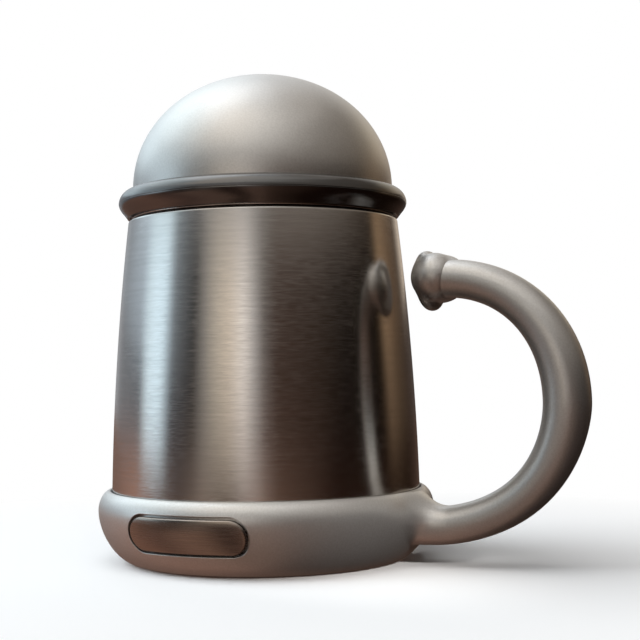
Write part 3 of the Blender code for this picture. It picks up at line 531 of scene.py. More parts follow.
def facing_out(mesh):
    """Merge a mesh's doubles and point its faces outwards."""
    shape = bmesh.new()
    shape.from_mesh(mesh)
    bmesh.ops.remove_doubles(shape, verts=shape.verts, dist=1e-7)
    bmesh.ops.recalc_face_normals(shape, faces=shape.faces)
    shape.to_mesh(mesh)
    shape.free()
    return mesh


def tube_mesh(name, places, radii, steps=24):
    """A closed round tube in the handle's plane through (x, z) places, in millimetres."""
    along = np.gradient(places, axis=0)
    along /= np.linalg.norm(along, axis=1)[:, None]
    points = []
    for (x, z), (dx, dz), r in zip(places, along, radii):
        for a in np.arange(steps) * 2 * math.pi / steps:
            out = r * math.cos(a)
            points.append(((x - dz * out) * MM, r * math.sin(a) * MM, (z + dx * out) * MM))
    caps = [tuple(range(steps))[::-1], tuple(range(len(points) - steps, len(points)))]
    return facing_out(mesh_of(name, points, banded(len(places), steps) + caps))


def carved(mesh, *cutters):
    """Cut closed shapes out of a mesh, exactly."""
    blank = shown(mesh.name + "_blank", mesh)
    tool = shown(mesh.name + "_cutter", merged(mesh.name + "_cutter", cutters))
    cut = blank.modifiers.new("cut", "BOOLEAN")
    cut.operation = "DIFFERENCE"
    cut.solver = "EXACT"
    cut.object = tool
    bpy.context.view_layer.update()
    result = bpy.data.meshes.new_from_object(blank.evaluated_get(bpy.context.evaluated_depsgraph_get()))
    bpy.data.objects.remove(blank)
    bpy.data.objects.remove(tool)
    result.name = mesh.name
    return result


BADGE_Z, CAPSULE_STEPS, STRAIGHT_STEPS, RECESS_SIZE = 12.2, 20, 30, (39.1, 11.3)


def capsule_mesh(name, width, height, sections, shift=(0, 0), rings=8):
    """A capsule-shaped layer that follows the base's side, from (growth, depth) sections, front first."""
    end = height / 2
    reach = width / 2 - end
    run = np.linspace(reach, -reach, STRAIGHT_STEPS + 1)[1:-1]
    right = np.radians(np.linspace(-90, 90, CAPSULE_STEPS + 1))
    left = right + math.pi
    spine = [reach] * len(right) + list(run) + [-reach] * len(left) + list(-run)
    ways = [(math.cos(a), math.sin(a)) for a in right] + [(0, 1)] * len(run)
    ways += [(math.cos(a), math.sin(a)) for a in left] + [(0, -1)] * len(run)
    (first_growth, first_depth), (last_growth, last_depth) = sections[0], sections[-1]
    rows = [(end * k / rings + first_growth * k / rings, first_depth) for k in range(rings)]
    rows += [(end + growth, depth) for growth, depth in sections]
    rows += [(end * k / rings + last_growth * k / rings, last_depth) for k in reversed(range(rings))]
    points = []
    for out, depth in rows:
        for x0, (wx, wz) in zip(spine, ways):
            x, z = shift[0] + x0 + wx * out, BADGE_Z + shift[1] + wz * out
            round_r = float(base_radius(z)) - depth
            points.append((x * MM, -math.sqrt(round_r ** 2 - x * x) * MM, z * MM))
    return facing_out(mesh_of(name, points, banded(len(rows), len(spine))))


END_PLACE, END_TILT = Vector((57.2, 0, 83.73)), math.radians(2)


def along_end(mesh):
    """Stand a turned mesh on the handle's end, so that its height runs on towards the body."""
    end_way = Vector((-math.cos(END_TILT), 0, math.sin(END_TILT)))
    turn = Vector((0, 0, 1)).rotation_difference(end_way).to_matrix().to_4x4()
    mesh.transform(Matrix.Translation(END_PLACE * MM) @ turn)
    return mesh


seed_side = [(0, SIDE_TOP)] + [tuple(p) for p in side[::6]] + [(0, SIDE_LOW)]
seed_base = turned_mesh("seed_base", seed_side, 96)
seed_tube = tube_mesh("seed_tube", path[20::6], thickness[20::6])
BASE_VOXEL = 0.55
skin = skinned("base_with_handle", [seed_base, seed_tube], base_and_handle, BASE_VOXEL)

GROOVE_R, GROOVE_FLOOR, LEDGE_R, LEDGE_TOP, LEDGE_LOW = 47.6, 19.5, 44.1, 14.7, 12.5
MOULDING_WALL, SHELF_R, SHELF_TOP, SHELF_LOW, RIM_R = 3, 32.8, 7, 4.8, 40.38
CLEAR_R, CLEAR_TOP, CLEAR_R_LOW, CLEAR_LOW = 57, 32, 60, -7
hollow = [(0, CLEAR_TOP), (CLEAR_R, CLEAR_TOP), (CLEAR_R, LIP_TOP), (LIP_BORE, LIP_TOP)]
hollow += [(LIP_BORE, GROOVE_FLOOR), (GROOVE_R, GROOVE_FLOOR), (GROOVE_R, LEDGE_TOP)]
hollow += [(LEDGE_R, LEDGE_TOP), (LEDGE_R, LEDGE_LOW)]
hollow += [(float(base_radius(z)) - MOULDING_WALL, z) for z in (LEDGE_LOW, SHELF_TOP)]
hollow += [(SHELF_R, SHELF_TOP), (SHELF_R, SHELF_LOW), (RIM_R, SHELF_LOW), (RIM_R, FOOT_RIM)]
hollow += [(CLEAR_R_LOW, FOOT_RIM), (CLEAR_R_LOW, CLEAR_LOW), (0, CLEAR_LOW)]
hollow_cutter = turned_mesh("hollow", eased(hollow, 0.22, 3))
recess_cutter = capsule_mesh("recess", *RECESS_SIZE, [(3.1, -3), (0, 0.1), (0, 1.8)])
BLIND_HOLE_R, BLIND_HOLE_DEPTH, END_ROOM_R, END_ROOM = 3.5, 9.2, 14, 30
end_cut = [(0, END_ROOM), (END_ROOM_R, END_ROOM), (END_ROOM_R, 0), (BLIND_HOLE_R, 0)]
end_cut += [(BLIND_HOLE_R, -BLIND_HOLE_DEPTH), (0, -BLIND_HOLE_DEPTH)]
end_cutter = along_end(turned_mesh("end_cut", end_cut, 64))

satin_silver, tree, shader = new_finish("satin_silver", (0.62, 0.605, 0.59), 0.82, 0.4)
# The lacquer's colour runs darker and browner along +X, from the base's side out over the handle, with a
# wavering edge. This is painted shade standing in for the handle's dark reflections, not a change in the
# paint. The flakes on top of it are a real fine speckle.
SHADE_FROM, SHADE_TO, SHADE_DRIFT = 46 * MM, 84 * MM, 16 * MM
flake = marks(tree, 1900)
where = tree.nodes.new("ShaderNodeTexCoord")
across = tree.nodes.new("ShaderNodeSeparateXYZ")
tree.links.new(where.outputs["Object"], across.inputs[0])
handle_shade = calc(tree, "ADD", across.outputs["X"], calc(tree, "MULTIPLY", marks(tree, 45, 3), SHADE_DRIFT))
handle_shade = stretched(tree, handle_shade, 0, 1, SHADE_FROM, SHADE_TO)
flakes_and_handle_shade = calc(tree, "ADD", handle_shade, calc(tree, "MULTIPLY", flake, 2))
worked(tree, shader, [(flake, 0.025)], (flake, 0.36, 0.44),
       (flakes_and_handle_shade, (0.638, 0.63, 0.616), (0.512, 0.496, 0.474), 0.6, 2.4))

moulding_mesh = carved(skin, hollow_cutter, recess_cutter, end_cutter)
moulding = in_place("base_with_handle", moulding_mesh, satin_silver)
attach(moulding, "mug")
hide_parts("base_shell")


# Gasket: the black rubber ring squeezed into the groove between the steel and the base's lip. It keeps
# washing water out of the base, and shows as the thin dark line over the bright lip.
gasket_rubber, tree, shader = new_finish("gasket_rubber", (0.012, 0.011, 0.011), 0, 0.55)
bloom = marks(tree, 420, 4)
worked(tree, shader, [(bloom, 0.01)], (bloom, 0.45, 0.7))
GASKET_R, GASKET_HALF, GASKET_LOW, GASKET_TOP, GASKET_ROUND = 47.55, 0.21, 19.7, 21.3, 0.25
outline = [(GASKET_R - GASKET_HALF, GASKET_LOW), (GASKET_R + GASKET_HALF, GASKET_LOW)]
outline += arc((GASKET_R, GASKET_TOP), (GASKET_HALF, GASKET_ROUND), 0, 180, 8)
gasket = in_place("gasket_ring", turned_mesh("gasket_ring", outline), gasket_rubber)
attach(gasket, "mug")
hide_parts("base_gasket")


# Badge: a bare capsule of dark anodised aluminium, rolled to the base's curve and held in its recess by
# foam tape. Its edge is turned to a fine bevel that shows as a thin bright line.
adhesive_foam, tree, shader = new_finish("adhesive_foam", (0.02, 0.02, 0.02), 0, 0.9)
cells = marks(tree, 4000)
worked(tree, shader, [(cells, 0.04)], None, (cells, (0.012, 0.012, 0.012), (0.04, 0.04, 0.04)))
dressed("badge_tape", adhesive_foam)

badge_black, tree, shader = new_finish("badge_black", (0.3, 0.26, 0.235), 0.95, 0.26)
grain, scuffs = marks(tree, (90, 90, 2600), 3), marks(tree, 60, 5)
worked(tree, shader, [(grain, 0.002)], (grain, 0.2, 0.32), (scuffs, (0.26, 0.225, 0.2), (0.34, 0.3, 0.27)))
bevel = [(-0.5, 0.02), (-0.42, 0.03), (-0.36, 0.06), (-0.04, 0.36), (0, 0.42), (0, 0.8)]
BADGE_SIZE, BADGE_SHIFT = (37.9, 10.1), (-0.16, -0.14)
plate_mesh = capsule_mesh("badge_plate", *BADGE_SIZE, bevel, BADGE_SHIFT)
badge = in_place("badge_plate", plate_mesh, badge_black, 25)
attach(badge, "mug")
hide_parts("badge")


# Handle knob: the cap that closes the handle, a ball set against a thicker round lobe. It is moulded in
# one, has the handle's lacquer, and its spigot is pressed and glued into the handle's end.
BALL_CENTRE, BALL_R = np.array((56.6, 0.3, 84.2)), 7.15
COLLAR_PLACE, COLLAR_TILT, COLLAR_ASIDE = np.array((53.5, 4.2, 83.45)), math.radians(5), 4.2
COLLAR_RIM_R, COLLAR_END_R, COLLAR_LENGTH, COLLAR_FULLNESS, RIM_ROUND = 8.95, 3.6, 11.8, 2.9, 2.3
CREASE_WIDTH = 0.7
collar_side = arc((COLLAR_RIM_R - RIM_ROUND, 0), (RIM_ROUND, RIM_ROUND), -90, 80, 26)
cone_r, cone_z = collar_side[-1]
for t in np.linspace(0, 1, 24)[1:]:
    narrowing = (cone_r - COLLAR_END_R) * (1 - t ** COLLAR_FULLNESS)
    collar_side.append((COLLAR_END_R + narrowing, cone_z + (COLLAR_LENGTH - cone_z) * t))
collar_side = np.array([(0, -RIM_ROUND - 0.001)] + collar_side + [(0, COLLAR_LENGTH + 0.001)])


def knob_distance(p):
    """Signed distance from the knob: the ball and the collar behind it, with a narrow crease between."""
    ball = np.linalg.norm(p - BALL_CENTRE, axis=1) - BALL_R
    x, y, z = (p - COLLAR_PLACE).T
    along = x * math.cos(COLLAR_TILT) + z * math.sin(COLLAR_TILT)
    across = z * math.cos(COLLAR_TILT) - x * math.sin(COLLAR_TILT)
    sideways = y + COLLAR_ASIDE * np.clip(along / COLLAR_LENGTH, 0, 1) ** 2
    radius = np.hypot(across, sideways)
    inside = radius < np.interp(along, collar_side[:, 1], collar_side[:, 0], left=-1, right=-1)
    collar = np.where(inside, -1, 1) * line_distance(collar_side, radius, along)
    return blended(ball, collar, CREASE_WIDTH)


def ball_mesh(name, centre, radii):
    """A closed ball in millimetres, as a start for a skin."""
    shape = bmesh.new()
    bmesh.ops.create_uvsphere(shape, u_segments=32, v_segments=20, radius=1)
    mesh = bpy.data.meshes.new(name)
    shape.to_mesh(mesh)
    shape.free()
    mesh.transform(Matrix.Translation(Vector(centre) * MM) @ Matrix.Diagonal((*(np.array(radii) * MM), 1)))
    return mesh


seeds = [
    ball_mesh("seed_ball", BALL_CENTRE, [BALL_R] * 3),
    ball_mesh("seed_rim", COLLAR_PLACE, (3, 8.9, 8.9)),
    ball_mesh("seed_cone", (58.6, 2.4, 83.9), (7, 7.4, 7.4)),
]
KNOB_VOXEL = 0.25
knob_skin = skinned("handle_knob", seeds, knob_distance, KNOB_VOXEL)
HANDLE_END, KNOB_CLEARANCE = slice(None, -200, -4), 0.03
handle_room = tube_mesh("handle_room", path[HANDLE_END], thickness[HANDLE_END] + KNOB_CLEARANCE, 96)
knob_shell = carved(knob_skin, handle_room)

SPIGOT_R, SPIGOT_TOP, SPIGOT_LOW = 3.2, 0.6, -8.7
spigot_side = eased([(0, SPIGOT_TOP), (SPIGOT_R, SPIGOT_TOP), (SPIGOT_R, SPIGOT_LOW), (0, SPIGOT_LOW)], 0.4)
knob_mesh = merged("handle_knob", [knob_shell, along_end(turned_mesh("spigot", spigot_side, 48))])
knob = in_place("handle_knob", knob_mesh, satin_silver, 35)
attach(knob, "mug")
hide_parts("handle_tip")


# Base plate: the grey moulded cover that closes the base from below, with a counterbore for each screw's
# head. Its tool was spark-eroded, which leaves a fine matt grain.
base_grey, tree, shader = new_finish("base_grey", (0.11, 0.11, 0.11), 0, 0.55)
spark = marks(tree, 2600, 3)
worked(tree, shader, [(spark, 0.012)], (spark, 0.48, 0.64))
dressed("base_plate", base_grey)


# Base screws: four self-forming pan-head screws with a blind socket. One is turned here, and Geometry
# Nodes put it on the four places of the screw circle.
screw_steel, tree, shader = new_finish("screw_steel", (0.52, 0.52, 0.51), 1, 0.3)
drawn = marks(tree, (500, 500, 3000))
worked(tree, shader, [(drawn, 0.004)], (drawn, 0.24, 0.4))

SCREW_TIP, TIP_R, TIP_LENGTH, SHANK, CIRCLE_R = 12.1, 1.2, 0.3, 0.4, 26
THREAD_PITCH, THREAD_R, THREAD_DEPTH, THREAD_EDGES = 0.6, 1.5, 0.22, 27
HEAD_R, HEAD_LOW, HEAD_TOP, DRIVE_R, DRIVE_FLOOR = 3.0, 1.5, 2.8, 1.1, 2.3
outline = [(0, DRIVE_FLOOR), (DRIVE_R, DRIVE_FLOOR), (DRIVE_R, HEAD_LOW), (HEAD_R, HEAD_LOW)]
outline += [(HEAD_R, HEAD_TOP), (THREAD_R, HEAD_TOP)]
outline += [(THREAD_R - THREAD_DEPTH * (k % 2), HEAD_TOP + SHANK + THREAD_PITCH * k / 2)
            for k in range(THREAD_EDGES)]
outline += [(TIP_R, SCREW_TIP - TIP_LENGTH), (0, SCREW_TIP)]
one_screw = turned_mesh("one_screw", outline, 24)

screw_tree, screw_sizes = sized_tree("screws_on_a_circle", {
    "Count": 4,
    "Circle Radius": CIRCLE_R * MM,
    "First Angle": math.pi / 4,
}, "Screw")
given = screw_tree.nodes.new("NodeGroupInput").outputs
do, join = functools.partial(calc, screw_tree), screw_tree.links.new
places = screw_tree.nodes.new("GeometryNodePoints")
join(given["Count"], places.inputs["Count"])
index = screw_tree.nodes.new("GeometryNodeInputIndex").outputs[0]
angle = do("ADD", do("MULTIPLY", index, do("DIVIDE", 2 * math.pi, given["Count"])), given["First Angle"])
spot = screw_tree.nodes.new("ShaderNodeCombineXYZ")
for axis, turn in (("X", "COSINE"), ("Y", "SINE")):
    join(do("MULTIPLY", do(turn, angle), given["Circle Radius"]), spot.inputs[axis])
join(spot.outputs[0], places.inputs["Position"])
set_screws = screw_tree.nodes.new("GeometryNodeInstanceOnPoints")
join(places.outputs[0], set_screws.inputs["Points"])
join(given["Screw"], set_screws.inputs["Instance"])
ended(screw_tree, set_screws.outputs["Instances"], screw_steel)

screws = in_place("base_screws", grown("base_screws", screw_tree, screw_sizes, one_screw), screw_steel)
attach(screws, "mug")
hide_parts("base_screw_1", "base_screw_2", "base_screw_3", "base_screw_4")


# Foot pad: the soft silicone disc under the base plate, which covers the screws and keeps the mug from
# sliding. It is moulded with a rounded edge and a shallow step.
pad_silicone, tree, shader = new_finish("pad_silicone", (0.045, 0.045, 0.045), 0, 0.7)
dust = marks(tree, 1500, 4)
worked(tree, shader, [(dust, 0.01)], (dust, 0.6, 0.8), (dust, (0.035, 0.035, 0.035), (0.06, 0.058, 0.055)))
PAD_R, PAD_THICK, STEP_R, STEP_DEPTH = 40.08, 1.2, 34.5, 0.3
outline = [(0, PAD_THICK), (PAD_R, PAD_THICK), (PAD_R, 0), (STEP_R, 0)]
outline += [(STEP_R - STEP_DEPTH, STEP_DEPTH), (0, STEP_DEPTH)]
pad = in_place("foot_disc", turned_mesh("foot_disc", eased(outline, 0.4)), pad_silicone)
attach(pad, "mug")
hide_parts("foot_pad")


# Lid dome: the thin outer shell of the lid, moulded to half an ellipsoid and sprayed a satin silver. Its
# short straight foot stands on the plug's flange inside the ring.
DOME_R, DOME_FOOT, DOME_RISE, DOME_WALL, DOME_LOW, DOME_FULLNESS = 40.3, 113.6, 35.7, 2.0, 108.8, 2.05
outline = arc((0, DOME_FOOT), (DOME_R, DOME_RISE), 0, 90, 48, DOME_FULLNESS)
outline[-1] = (0, DOME_FOOT + DOME_RISE)
inner = arc((0, DOME_FOOT), (DOME_R - DOME_WALL, DOME_RISE - DOME_WALL), 90, 0, 48, DOME_FULLNESS)
inner[0] = (0, DOME_FOOT + DOME_RISE - DOME_WALL)
outline += inner + [(DOME_R - DOME_WALL, DOME_LOW), (DOME_R, DOME_LOW)]
dome_silver, tree, shader = new_finish("dome_silver", (0.58, 0.57, 0.555), 0.97, 0.4)
flake, cloud = marks(tree, 1900), marks(tree, 45, 3)
worked(tree, shader, [(flake, 0.025)], (flake, 0.36, 0.44),
       (calc(tree, "ADD", cloud, flake), (0.53, 0.52, 0.505), (0.63, 0.62, 0.605), 0.75, 1.25))
dome = in_place("dome_shell", turned_mesh("dome_shell", outline), dome_silver)
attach(dome, "lid")
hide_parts("lid_dome")


# Lid ring: the glossy dark elastomer bead that clamps the dome to the plug. It is moulded in two halves
# of a tool, which leaves the fine parting line round its widest place.
RING_R, RING_WIDE, RING_TOP, RING_BORE, RING_INNER = 44.7, 109.0, 113.32, 40.6, 36.3
RING_LOW, SKIRT_LOW, SHELF_THICK, PARTING_DEPTH = 105.4, 104.75, 0.8, 0.1
crown = arc((RING_BORE, RING_WIDE), (RING_R - RING_BORE, RING_TOP - RING_WIDE), 84, 6, 14)
parting = [(RING_R - 0.01, RING_WIDE + 0.34), (RING_R - PARTING_DEPTH, RING_WIDE + 0.28)]
parting += [(RING_R - PARTING_DEPTH, RING_WIDE + 0.2), (RING_R, RING_WIDE + 0.14), (RING_R, RING_WIDE - 0.1)]
under = [(44.45, 108.0), (43.85, 107.0), (43.1, 106.1), (42.4, 105.2), (42.1, SKIRT_LOW), (41.3, SKIRT_LOW)]
shelf = [(41.1, RING_LOW), (RING_INNER, RING_LOW), (RING_INNER, RING_LOW + SHELF_THICK)]
outline = crown + parting + under + shelf + [(RING_BORE, RING_LOW + SHELF_THICK)]
bead_black, tree, shader = new_finish("bead_black", (0.008, 0.006, 0.005), 0, 0.2)
filled(shader, {"IOR": 2.12})
fine = marks(tree, 1400, 3)
worked(tree, shader, [(fine, 0.009)], (fine, 0.16, 0.24))
ring = in_place("lid_bead", turned_mesh("lid_bead", eased(outline, 0.08, 3, 40)), bead_black)
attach(ring, "lid")
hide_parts("lid_ring")


# Lid plug: the dark moulded cup under the dome. Its flange is clamped by the ring, and its wall reaches
# into the mouth and carries the seal in a groove.
plug_plastic, tree, shader = new_finish("plug_plastic", (0.035, 0.034, 0.034), 0, 0.42)
fine = marks(tree, 2200, 3)
worked(tree, shader, [(fine, 0.006)], (fine, 0.36, 0.5))
FLANGE_TOP, FLANGE_LOW, PLUG_R, PLUG_LOW, PLUG_FLOOR, PLUG_BORE = 108.5, 106.5, 36, 97.2, 99.2, 33.3
GROOVE_BED, GROOVE_TOP, GROOVE_LOW = 34.9, 103.5, 99.9
outline = [(DOME_R, FLANGE_TOP), (DOME_R, FLANGE_LOW), (PLUG_R, FLANGE_LOW), (PLUG_R, GROOVE_TOP)]
outline += [(GROOVE_BED, GROOVE_TOP), (GROOVE_BED, GROOVE_LOW), (PLUG_R, GROOVE_LOW), (PLUG_R, PLUG_LOW)]
outline += [(0, PLUG_LOW), (0, PLUG_FLOOR), (PLUG_BORE, PLUG_FLOOR), (PLUG_BORE, FLANGE_TOP)]
plug = in_place("lid_plug", turned_mesh("lid_plug", eased(outline, 0.5)), plug_plastic)
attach(plug, "lid")
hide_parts("lid_liner")


# Lid seal: the soft silicone ring in the plug's groove. Its two thin lips bend against the vessel's
# mouth, close it and hold the lid by friction.
seal_silicone, tree, shader = new_finish("seal_silicone", (0.5, 0.5, 0.48), 0, 0.5)
filled(shader, {"Subsurface Weight": 0.2, "Subsurface Radius": (0.001, 0.001, 0.001)})
bloom = marks(tree, 300, 4)
worked(tree, shader, [(bloom, 0.008)], (bloom, 0.42, 0.6))
SEAL_R, SEAL_BED, SEAL_TOP, SEAL_LOW, SEAL_LIP = 38.6, 35.2, 103.2, 100.2, 0.8
WAIST_R, WAIST_TOP, WAIST_LOW = 36.2, 102.1, 101.2
outline = [(SEAL_R, SEAL_TOP), (SEAL_R, SEAL_TOP - SEAL_LIP), (WAIST_R, WAIST_TOP), (WAIST_R, WAIST_LOW)]
outline += [(SEAL_R, SEAL_LOW + SEAL_LIP), (SEAL_R, SEAL_LOW), (SEAL_BED, SEAL_LOW), (SEAL_BED, SEAL_TOP)]
seal = in_place("lid_lip_seal", turned_mesh("lid_lip_seal", eased(outline, 0.3)), seal_silicone)
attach(seal, "lid")
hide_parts("lid_seal")


# Studio: a pale floor under a white sky, a large soft window light on the left, a soft ceiling light and
# a narrow soft spot low on the right. Rings of cards, which only reflections see, give the steel and the
# lacquer something to mirror.
CAMERA_SIDE = math.radians(28)

camera_data = bpy.data.cameras.new("camera")
camera_data.lens = 72.62
camera_data.sensor_width = 36
camera_data.clip_start = 0.01
camera = shown("camera", camera_data)
camera.location = (0.188995, -0.355447, 0.057553)
camera.rotation_euler = [math.radians(a) for a in (92.2062, 0.7961, 25.5768)]
bpy.context.scene.camera = camera
bpy.context.scene.view_settings.view_transform = "Standard"


def seen_rays(tree):
    """One for rays that see the background: straight, mirrored or through glass."""
    rays = tree.nodes.new("ShaderNodeLightPath").outputs
    pair = calc(tree, "ADD", rays["Is Camera Ray"], rays["Is Glossy Ray"])
    return calc(tree, "MINIMUM", calc(tree, "ADD", pair, rays["Is Transmission Ray"]), 1)


def mixed(tree, factor, first, second, end):
    """Mix two shaders by a factor, and end the tree in them."""
    mix = tree.nodes.new("ShaderNodeMixShader")
    for value, socket in zip((factor, first, second), mix.inputs):
        tree.links.new(value, socket)
    tree.links.new(mix.outputs[0], tree.nodes[end].inputs["Surface"])


world = bpy.data.worlds.new("white_sky")
bpy.context.scene.world = world
world.use_nodes = True
tree = world.node_tree
lighting = filled(tree.nodes["Background"], {"Color": (0.93, 0.96, 1, 1), "Strength": 0.05})
backdrop = filled(tree.nodes.new("ShaderNodeBackground"), {"Color": (1, 1, 1, 1), "Strength": 1})
mixed(tree, seen_rays(tree), lighting.outputs[0], backdrop.outputs[0], "World Output")


def spot_at(angle, distance, height):
    """A place so many degrees to the camera's right from the line to the camera, in metres."""
    a = math.radians(angle)
    to_camera = Vector((math.sin(CAMERA_SIDE), -math.cos(CAMERA_SIDE), 0))
    to_right = Vector((math.cos(CAMERA_SIDE), math.sin(CAMERA_SIDE), 0))
    return (to_camera * math.cos(a) + to_right * math.sin(a)) * distance + Vector((0, 0, height))


def lamp(name, kind, watts, colour, place, aim):
    """A soft light on a stand, out of sight of the camera and of reflections."""
    light = bpy.data.lights.new(name, kind)
    light.energy = watts
    light.color = colour
    stand = shown(name, light)
    stand.location = place
    stand.rotation_euler = (aim - place).to_track_quat("-Z", "Y").to_euler()
    stand.visible_glossy = False
    stand.visible_camera = False
    return light


middle, base_right = Vector((0, 0, 0.07)), spot_at(40, 0.046, 0.012)
window_light = lamp("window_light", "AREA", 22.0, (0.9, 0.96, 1), spot_at(-100, 1.1, 0.7), middle)
window_light.size = 1.1
ceiling_light = lamp("ceiling_light", "AREA", 9.0, (1, 1, 1), spot_at(-20, 0.4, 1.4), middle)
ceiling_light.size = 1.2
low_fill = lamp("low_fill", "SPOT", 4.6, (1, 0.97, 0.94), spot_at(30, 0.34, 0.17), base_right)
low_fill.shadow_soft_size = 0.02
low_fill.spot_size = math.radians(15)
low_fill.spot_blend = 1

FADE_FROM, FADE_TO, FLOOR_HALF = 0.055, 0.22, 4
paper, tree, shader = new_finish("floor_paper", (0.97, 0.97, 0.97), 0, 0.9)
filled(shader, {"Specular IOR Level": 0.1})
where = tree.nodes.new("ShaderNodeTexCoord")
reach = tree.nodes.new("ShaderNodeVectorMath")
reach.operation = "LENGTH"
tree.links.new(where.outputs["Object"], reach.inputs[0])
far_off = stretched(tree, reach.outputs["Value"], 0, 1, FADE_FROM, FADE_TO)
glow = filled(tree.nodes.new("ShaderNodeEmission"), {"Color": (1, 1, 1, 1)})
mixed(tree, far_off, shader.outputs[0], glow.outputs[0], "Material Output")
corners = [(x * FLOOR_HALF, y * FLOOR_HALF, 0) for x, y in ((-1, -1), (1, -1), (1, 1), (-1, 1))]
floor = shown("floor", mesh_of("floor", corners, [(0, 1, 2, 3)]))
floor.data.materials.append(paper)
floor.visible_glossy = False
floor.visible_diffuse = False

CARD_STRENGTH, CARD_DISTANCE = 3.0, 2.0


def tones_round(tree, stops):
    """Colours set at angles from the camera, running softly into one another round the mug."""
    where = tree.nodes.new("ShaderNodeTexCoord")
    turn = filled(tree.nodes.new("ShaderNodeMapping"), {"Rotation": (0, 0, math.pi / 2 - CAMERA_SIDE)})
    axes = tree.nodes.new("ShaderNodeSeparateXYZ")
    tree.links.new(where.outputs["Object"], turn.inputs["Vector"])
    tree.links.new(turn.outputs["Vector"], axes.inputs[0])
    share = calc(tree, "DIVIDE", calc(tree, "ARCTAN2", axes.outputs["Y"], axes.outputs["X"]), 2 * math.pi)
    ramp = tree.nodes.new("ShaderNodeValToRGB")
    tones, ends = ramp.color_ramp.elements, {-180: 0, 180: -1}
    for angle, colour in stops.items():
        stop = tones[ends[angle]] if angle in ends else tones.new(angle / 360 + 0.5)
        stop.color = (*[tone / CARD_STRENGTH for tone in colour], 1)
    tree.links.new(calc(tree, "ADD", share, 0.5), ramp.inputs["Fac"])
    return ramp.outputs["Color"]


def card(name, rises, stops):
    """A round flag between heights seen from the mug, in degrees, that only reflections see."""
    turns = np.radians(np.arange(0, 360, 5))
    points = [(math.cos(a) * math.cos(e) * CARD_DISTANCE, math.sin(a) * math.cos(e) * CARD_DISTANCE,
               math.sin(e) * CARD_DISTANCE) for e in np.radians(rises) for a in turns]
    finish = bpy.data.materials.new(name)
    finish.use_nodes = True
    tree = finish.node_tree
    tree.nodes.remove(tree.nodes["Principled BSDF"])
    tone = filled(tree.nodes.new("ShaderNodeEmission"), {"Strength": CARD_STRENGTH})
    tree.links.new(tones_round(tree, stops), tone.inputs["Color"])
    tree.links.new(tone.outputs[0], tree.nodes["Material Output"].inputs["Surface"])
    flag = shown(name, mesh_of(name, points, banded(len(rises), len(turns))))
    flag.data.materials.append(finish)
    flag.visible_camera = False
    flag.visible_diffuse = False
    flag.visible_transmission = False


card("low_walls", [0, 7], {
    -180: (0.1, 0.085, 0.08), -160: (0.4, 0.41, 0.43), -142: (0.26, 0.27, 0.29), -108: (0.14, 0.16, 0.18),
    -99: (1.0, 1.22, 1.35), -92: (1.2, 1.5, 1.7), -85: (1.1, 1.38, 1.55), -75: (0.06, 0.06, 0.07),
    -55: (0.04, 0.035, 0.03), -47: (0.24, 0.22, 0.2), -37: (0.52, 0.46, 0.38), -27: (0.74, 0.63, 0.52),
    -16: (1.05, 0.95, 0.88), -9: (0.5, 0.46, 0.44), -1: (0.13, 0.09, 0.08), 8: (0.06, 0.035, 0.025),
    60: (0.006, 0.004, 0.003), 98: (0.006, 0.004, 0.003), 107: (0.2, 0.13, 0.08), 122: (0.1, 0.065, 0.04),
    138: (0.06, 0.04, 0.03), 180: (0.1, 0.085, 0.08),
})
card("room_walls", [7, 17], {
    -180: (0.1, 0.085, 0.08), -160: (0.4, 0.42, 0.45), -142: (0.36, 0.4, 0.44), -112: (0.56, 0.66, 0.76),
    -100: (1.05, 1.3, 1.45), -92: (1.2, 1.5, 1.7), -84: (1.15, 1.45, 1.65), -74: (0.24, 0.27, 0.3),
    -64: (0.12, 0.13, 0.14), -55: (0.03, 0.03, 0.03), -47: (0.34, 0.32, 0.3), -37: (0.78, 0.69, 0.57),
    -27: (1.08, 0.92, 0.74), -16: (1.32, 1.23, 1.14), -9: (0.7, 0.67, 0.65), -1: (0.16, 0.14, 0.13),
    8: (0.06, 0.035, 0.025), 40: (0.03, 0.018, 0.012), 60: (0.01, 0.007, 0.005), 98: (0.01, 0.007, 0.005),
    107: (0.34, 0.22, 0.13), 122: (0.16, 0.1, 0.06), 138: (0.1, 0.07, 0.05), 156: (0.7, 0.59, 0.48),
    180: (0.1, 0.085, 0.08),
})
card("sill_walls", [17, 21], {
    -180: (0.5, 0.5, 0.5), -150: (0.95, 1.1, 1.2), -130: (1.3, 1.55, 1.7), -108: (0.8, 0.97, 1.08),
    -84: (0.9, 1.1, 1.2), -74: (0.24, 0.27, 0.3), -55: (0.1, 0.1, 0.1), -37: (0.6, 0.54, 0.46),
    -16: (0.9, 0.84, 0.78), -1: (0.2, 0.18, 0.16), 8: (0.1, 0.07, 0.055), 98: (0.06, 0.045, 0.035),
    116: (0.3, 0.21, 0.13), 140: (0.8, 0.67, 0.52), 180: (0.5, 0.5, 0.5),
})
card("upper_walls", [21, 28], {
    -180: (0.7, 0.72, 0.75), -150: (0.95, 1.1, 1.2), -130: (1.5, 1.8, 1.95), -108: (0.8, 0.97, 1.08),
    -80: (0.6, 0.73, 0.78), -64: (0.18, 0.18, 0.18), -46: (0.38, 0.37, 0.36), -16: (0.42, 0.405, 0.395),
    0: (0.3, 0.28, 0.26), 12: (0.24, 0.21, 0.185), 36: (0.3, 0.265, 0.235), 66: (0.3, 0.265, 0.23),
    98: (0.2, 0.165, 0.13), 116: (0.3, 0.22, 0.14), 140: (0.9, 0.76, 0.58), 180: (0.7, 0.7, 0.7),
})
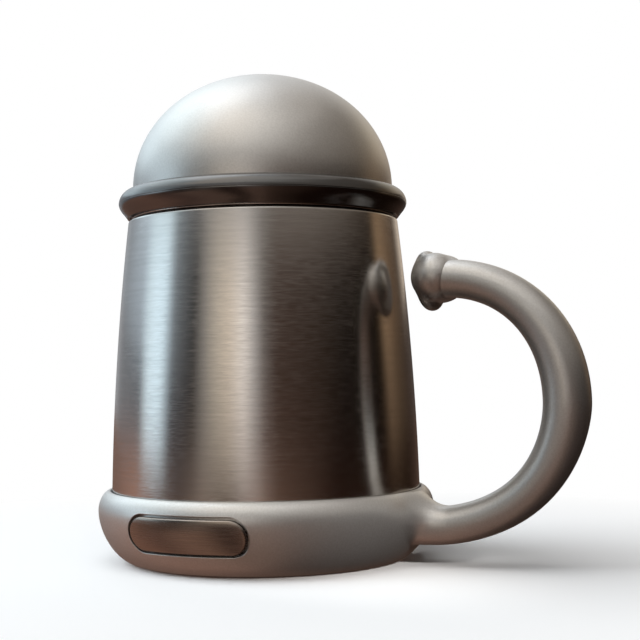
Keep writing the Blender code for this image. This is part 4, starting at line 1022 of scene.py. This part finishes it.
card("high_walls", [28, 38], {
    -180: (0.95, 0.98, 1.0), -140: (1.5, 1.75, 1.9), -110: (1.1, 1.28, 1.38), -84: (0.7, 0.78, 0.82),
    -56: (0.5, 0.5, 0.5), -16: (0.52, 0.5, 0.48), 12: (0.4, 0.37, 0.34), 60: (0.27, 0.24, 0.21),
    110: (0.18, 0.15, 0.12), 140: (0.8, 0.7, 0.55), 180: (0.95, 0.95, 0.95),
})
card("ceiling", [38, 48, 58], {
    -180: (1.0, 1.05, 1.1), -150: (1.8, 2.0, 2.1), -120: (1.7, 1.95, 2.05), -84: (0.95, 1.05, 1.08),
    -56: (1.3, 1.18, 1.04), -20: (1.25, 1.2, 1.12), 8: (0.85, 0.82, 0.78), 36: (0.5, 0.46, 0.42),
    64: (0.3, 0.27, 0.24), 120: (0.2, 0.17, 0.14), 150: (0.6, 0.56, 0.52), 180: (1.0, 1.02, 1.04),
})
card("high_ceiling", [58, 68, 82], {
    -180: (1.3, 1.35, 1.4), -140: (2.5, 2.55, 2.6), -100: (2.0, 2.05, 2.1), -56: (1.5, 1.38, 1.22),
    -20: (1.35, 1.28, 1.2), 8: (1.1, 1.06, 1.0), 64: (0.64, 0.6, 0.56), 120: (0.52, 0.47, 0.42),
    150: (0.8, 0.76, 0.72), 180: (1.3, 1.3, 1.3),
})
table_tones = {
    -180: (0.14, 0.085, 0.065), -140: (0.26, 0.15, 0.115), -110: (0.46, 0.25, 0.18), -84: (0.2, 0.12, 0.09),
    -66: (0.12, 0.08, 0.065), -46: (0.3, 0.22, 0.18), -32: (0.08, 0.045, 0.035), -22: (0.08, 0.045, 0.035),
    -8: (0.4, 0.28, 0.23), 8: (0.15, 0.085, 0.06), 50: (0.025, 0.01, 0.006), 130: (0.02, 0.01, 0.006),
    180: (0.14, 0.085, 0.065),
}
near_tones = {
    -84: (0.24, 0.14, 0.11), -66: (0.4, 0.24, 0.18), -46: (0.36, 0.22, 0.16), -8: (0.43, 0.26, 0.19),
}
card("table_edge", [-20, 0], table_tones)
card("table", [-90, -45, -20], {**table_tones, **near_tones})
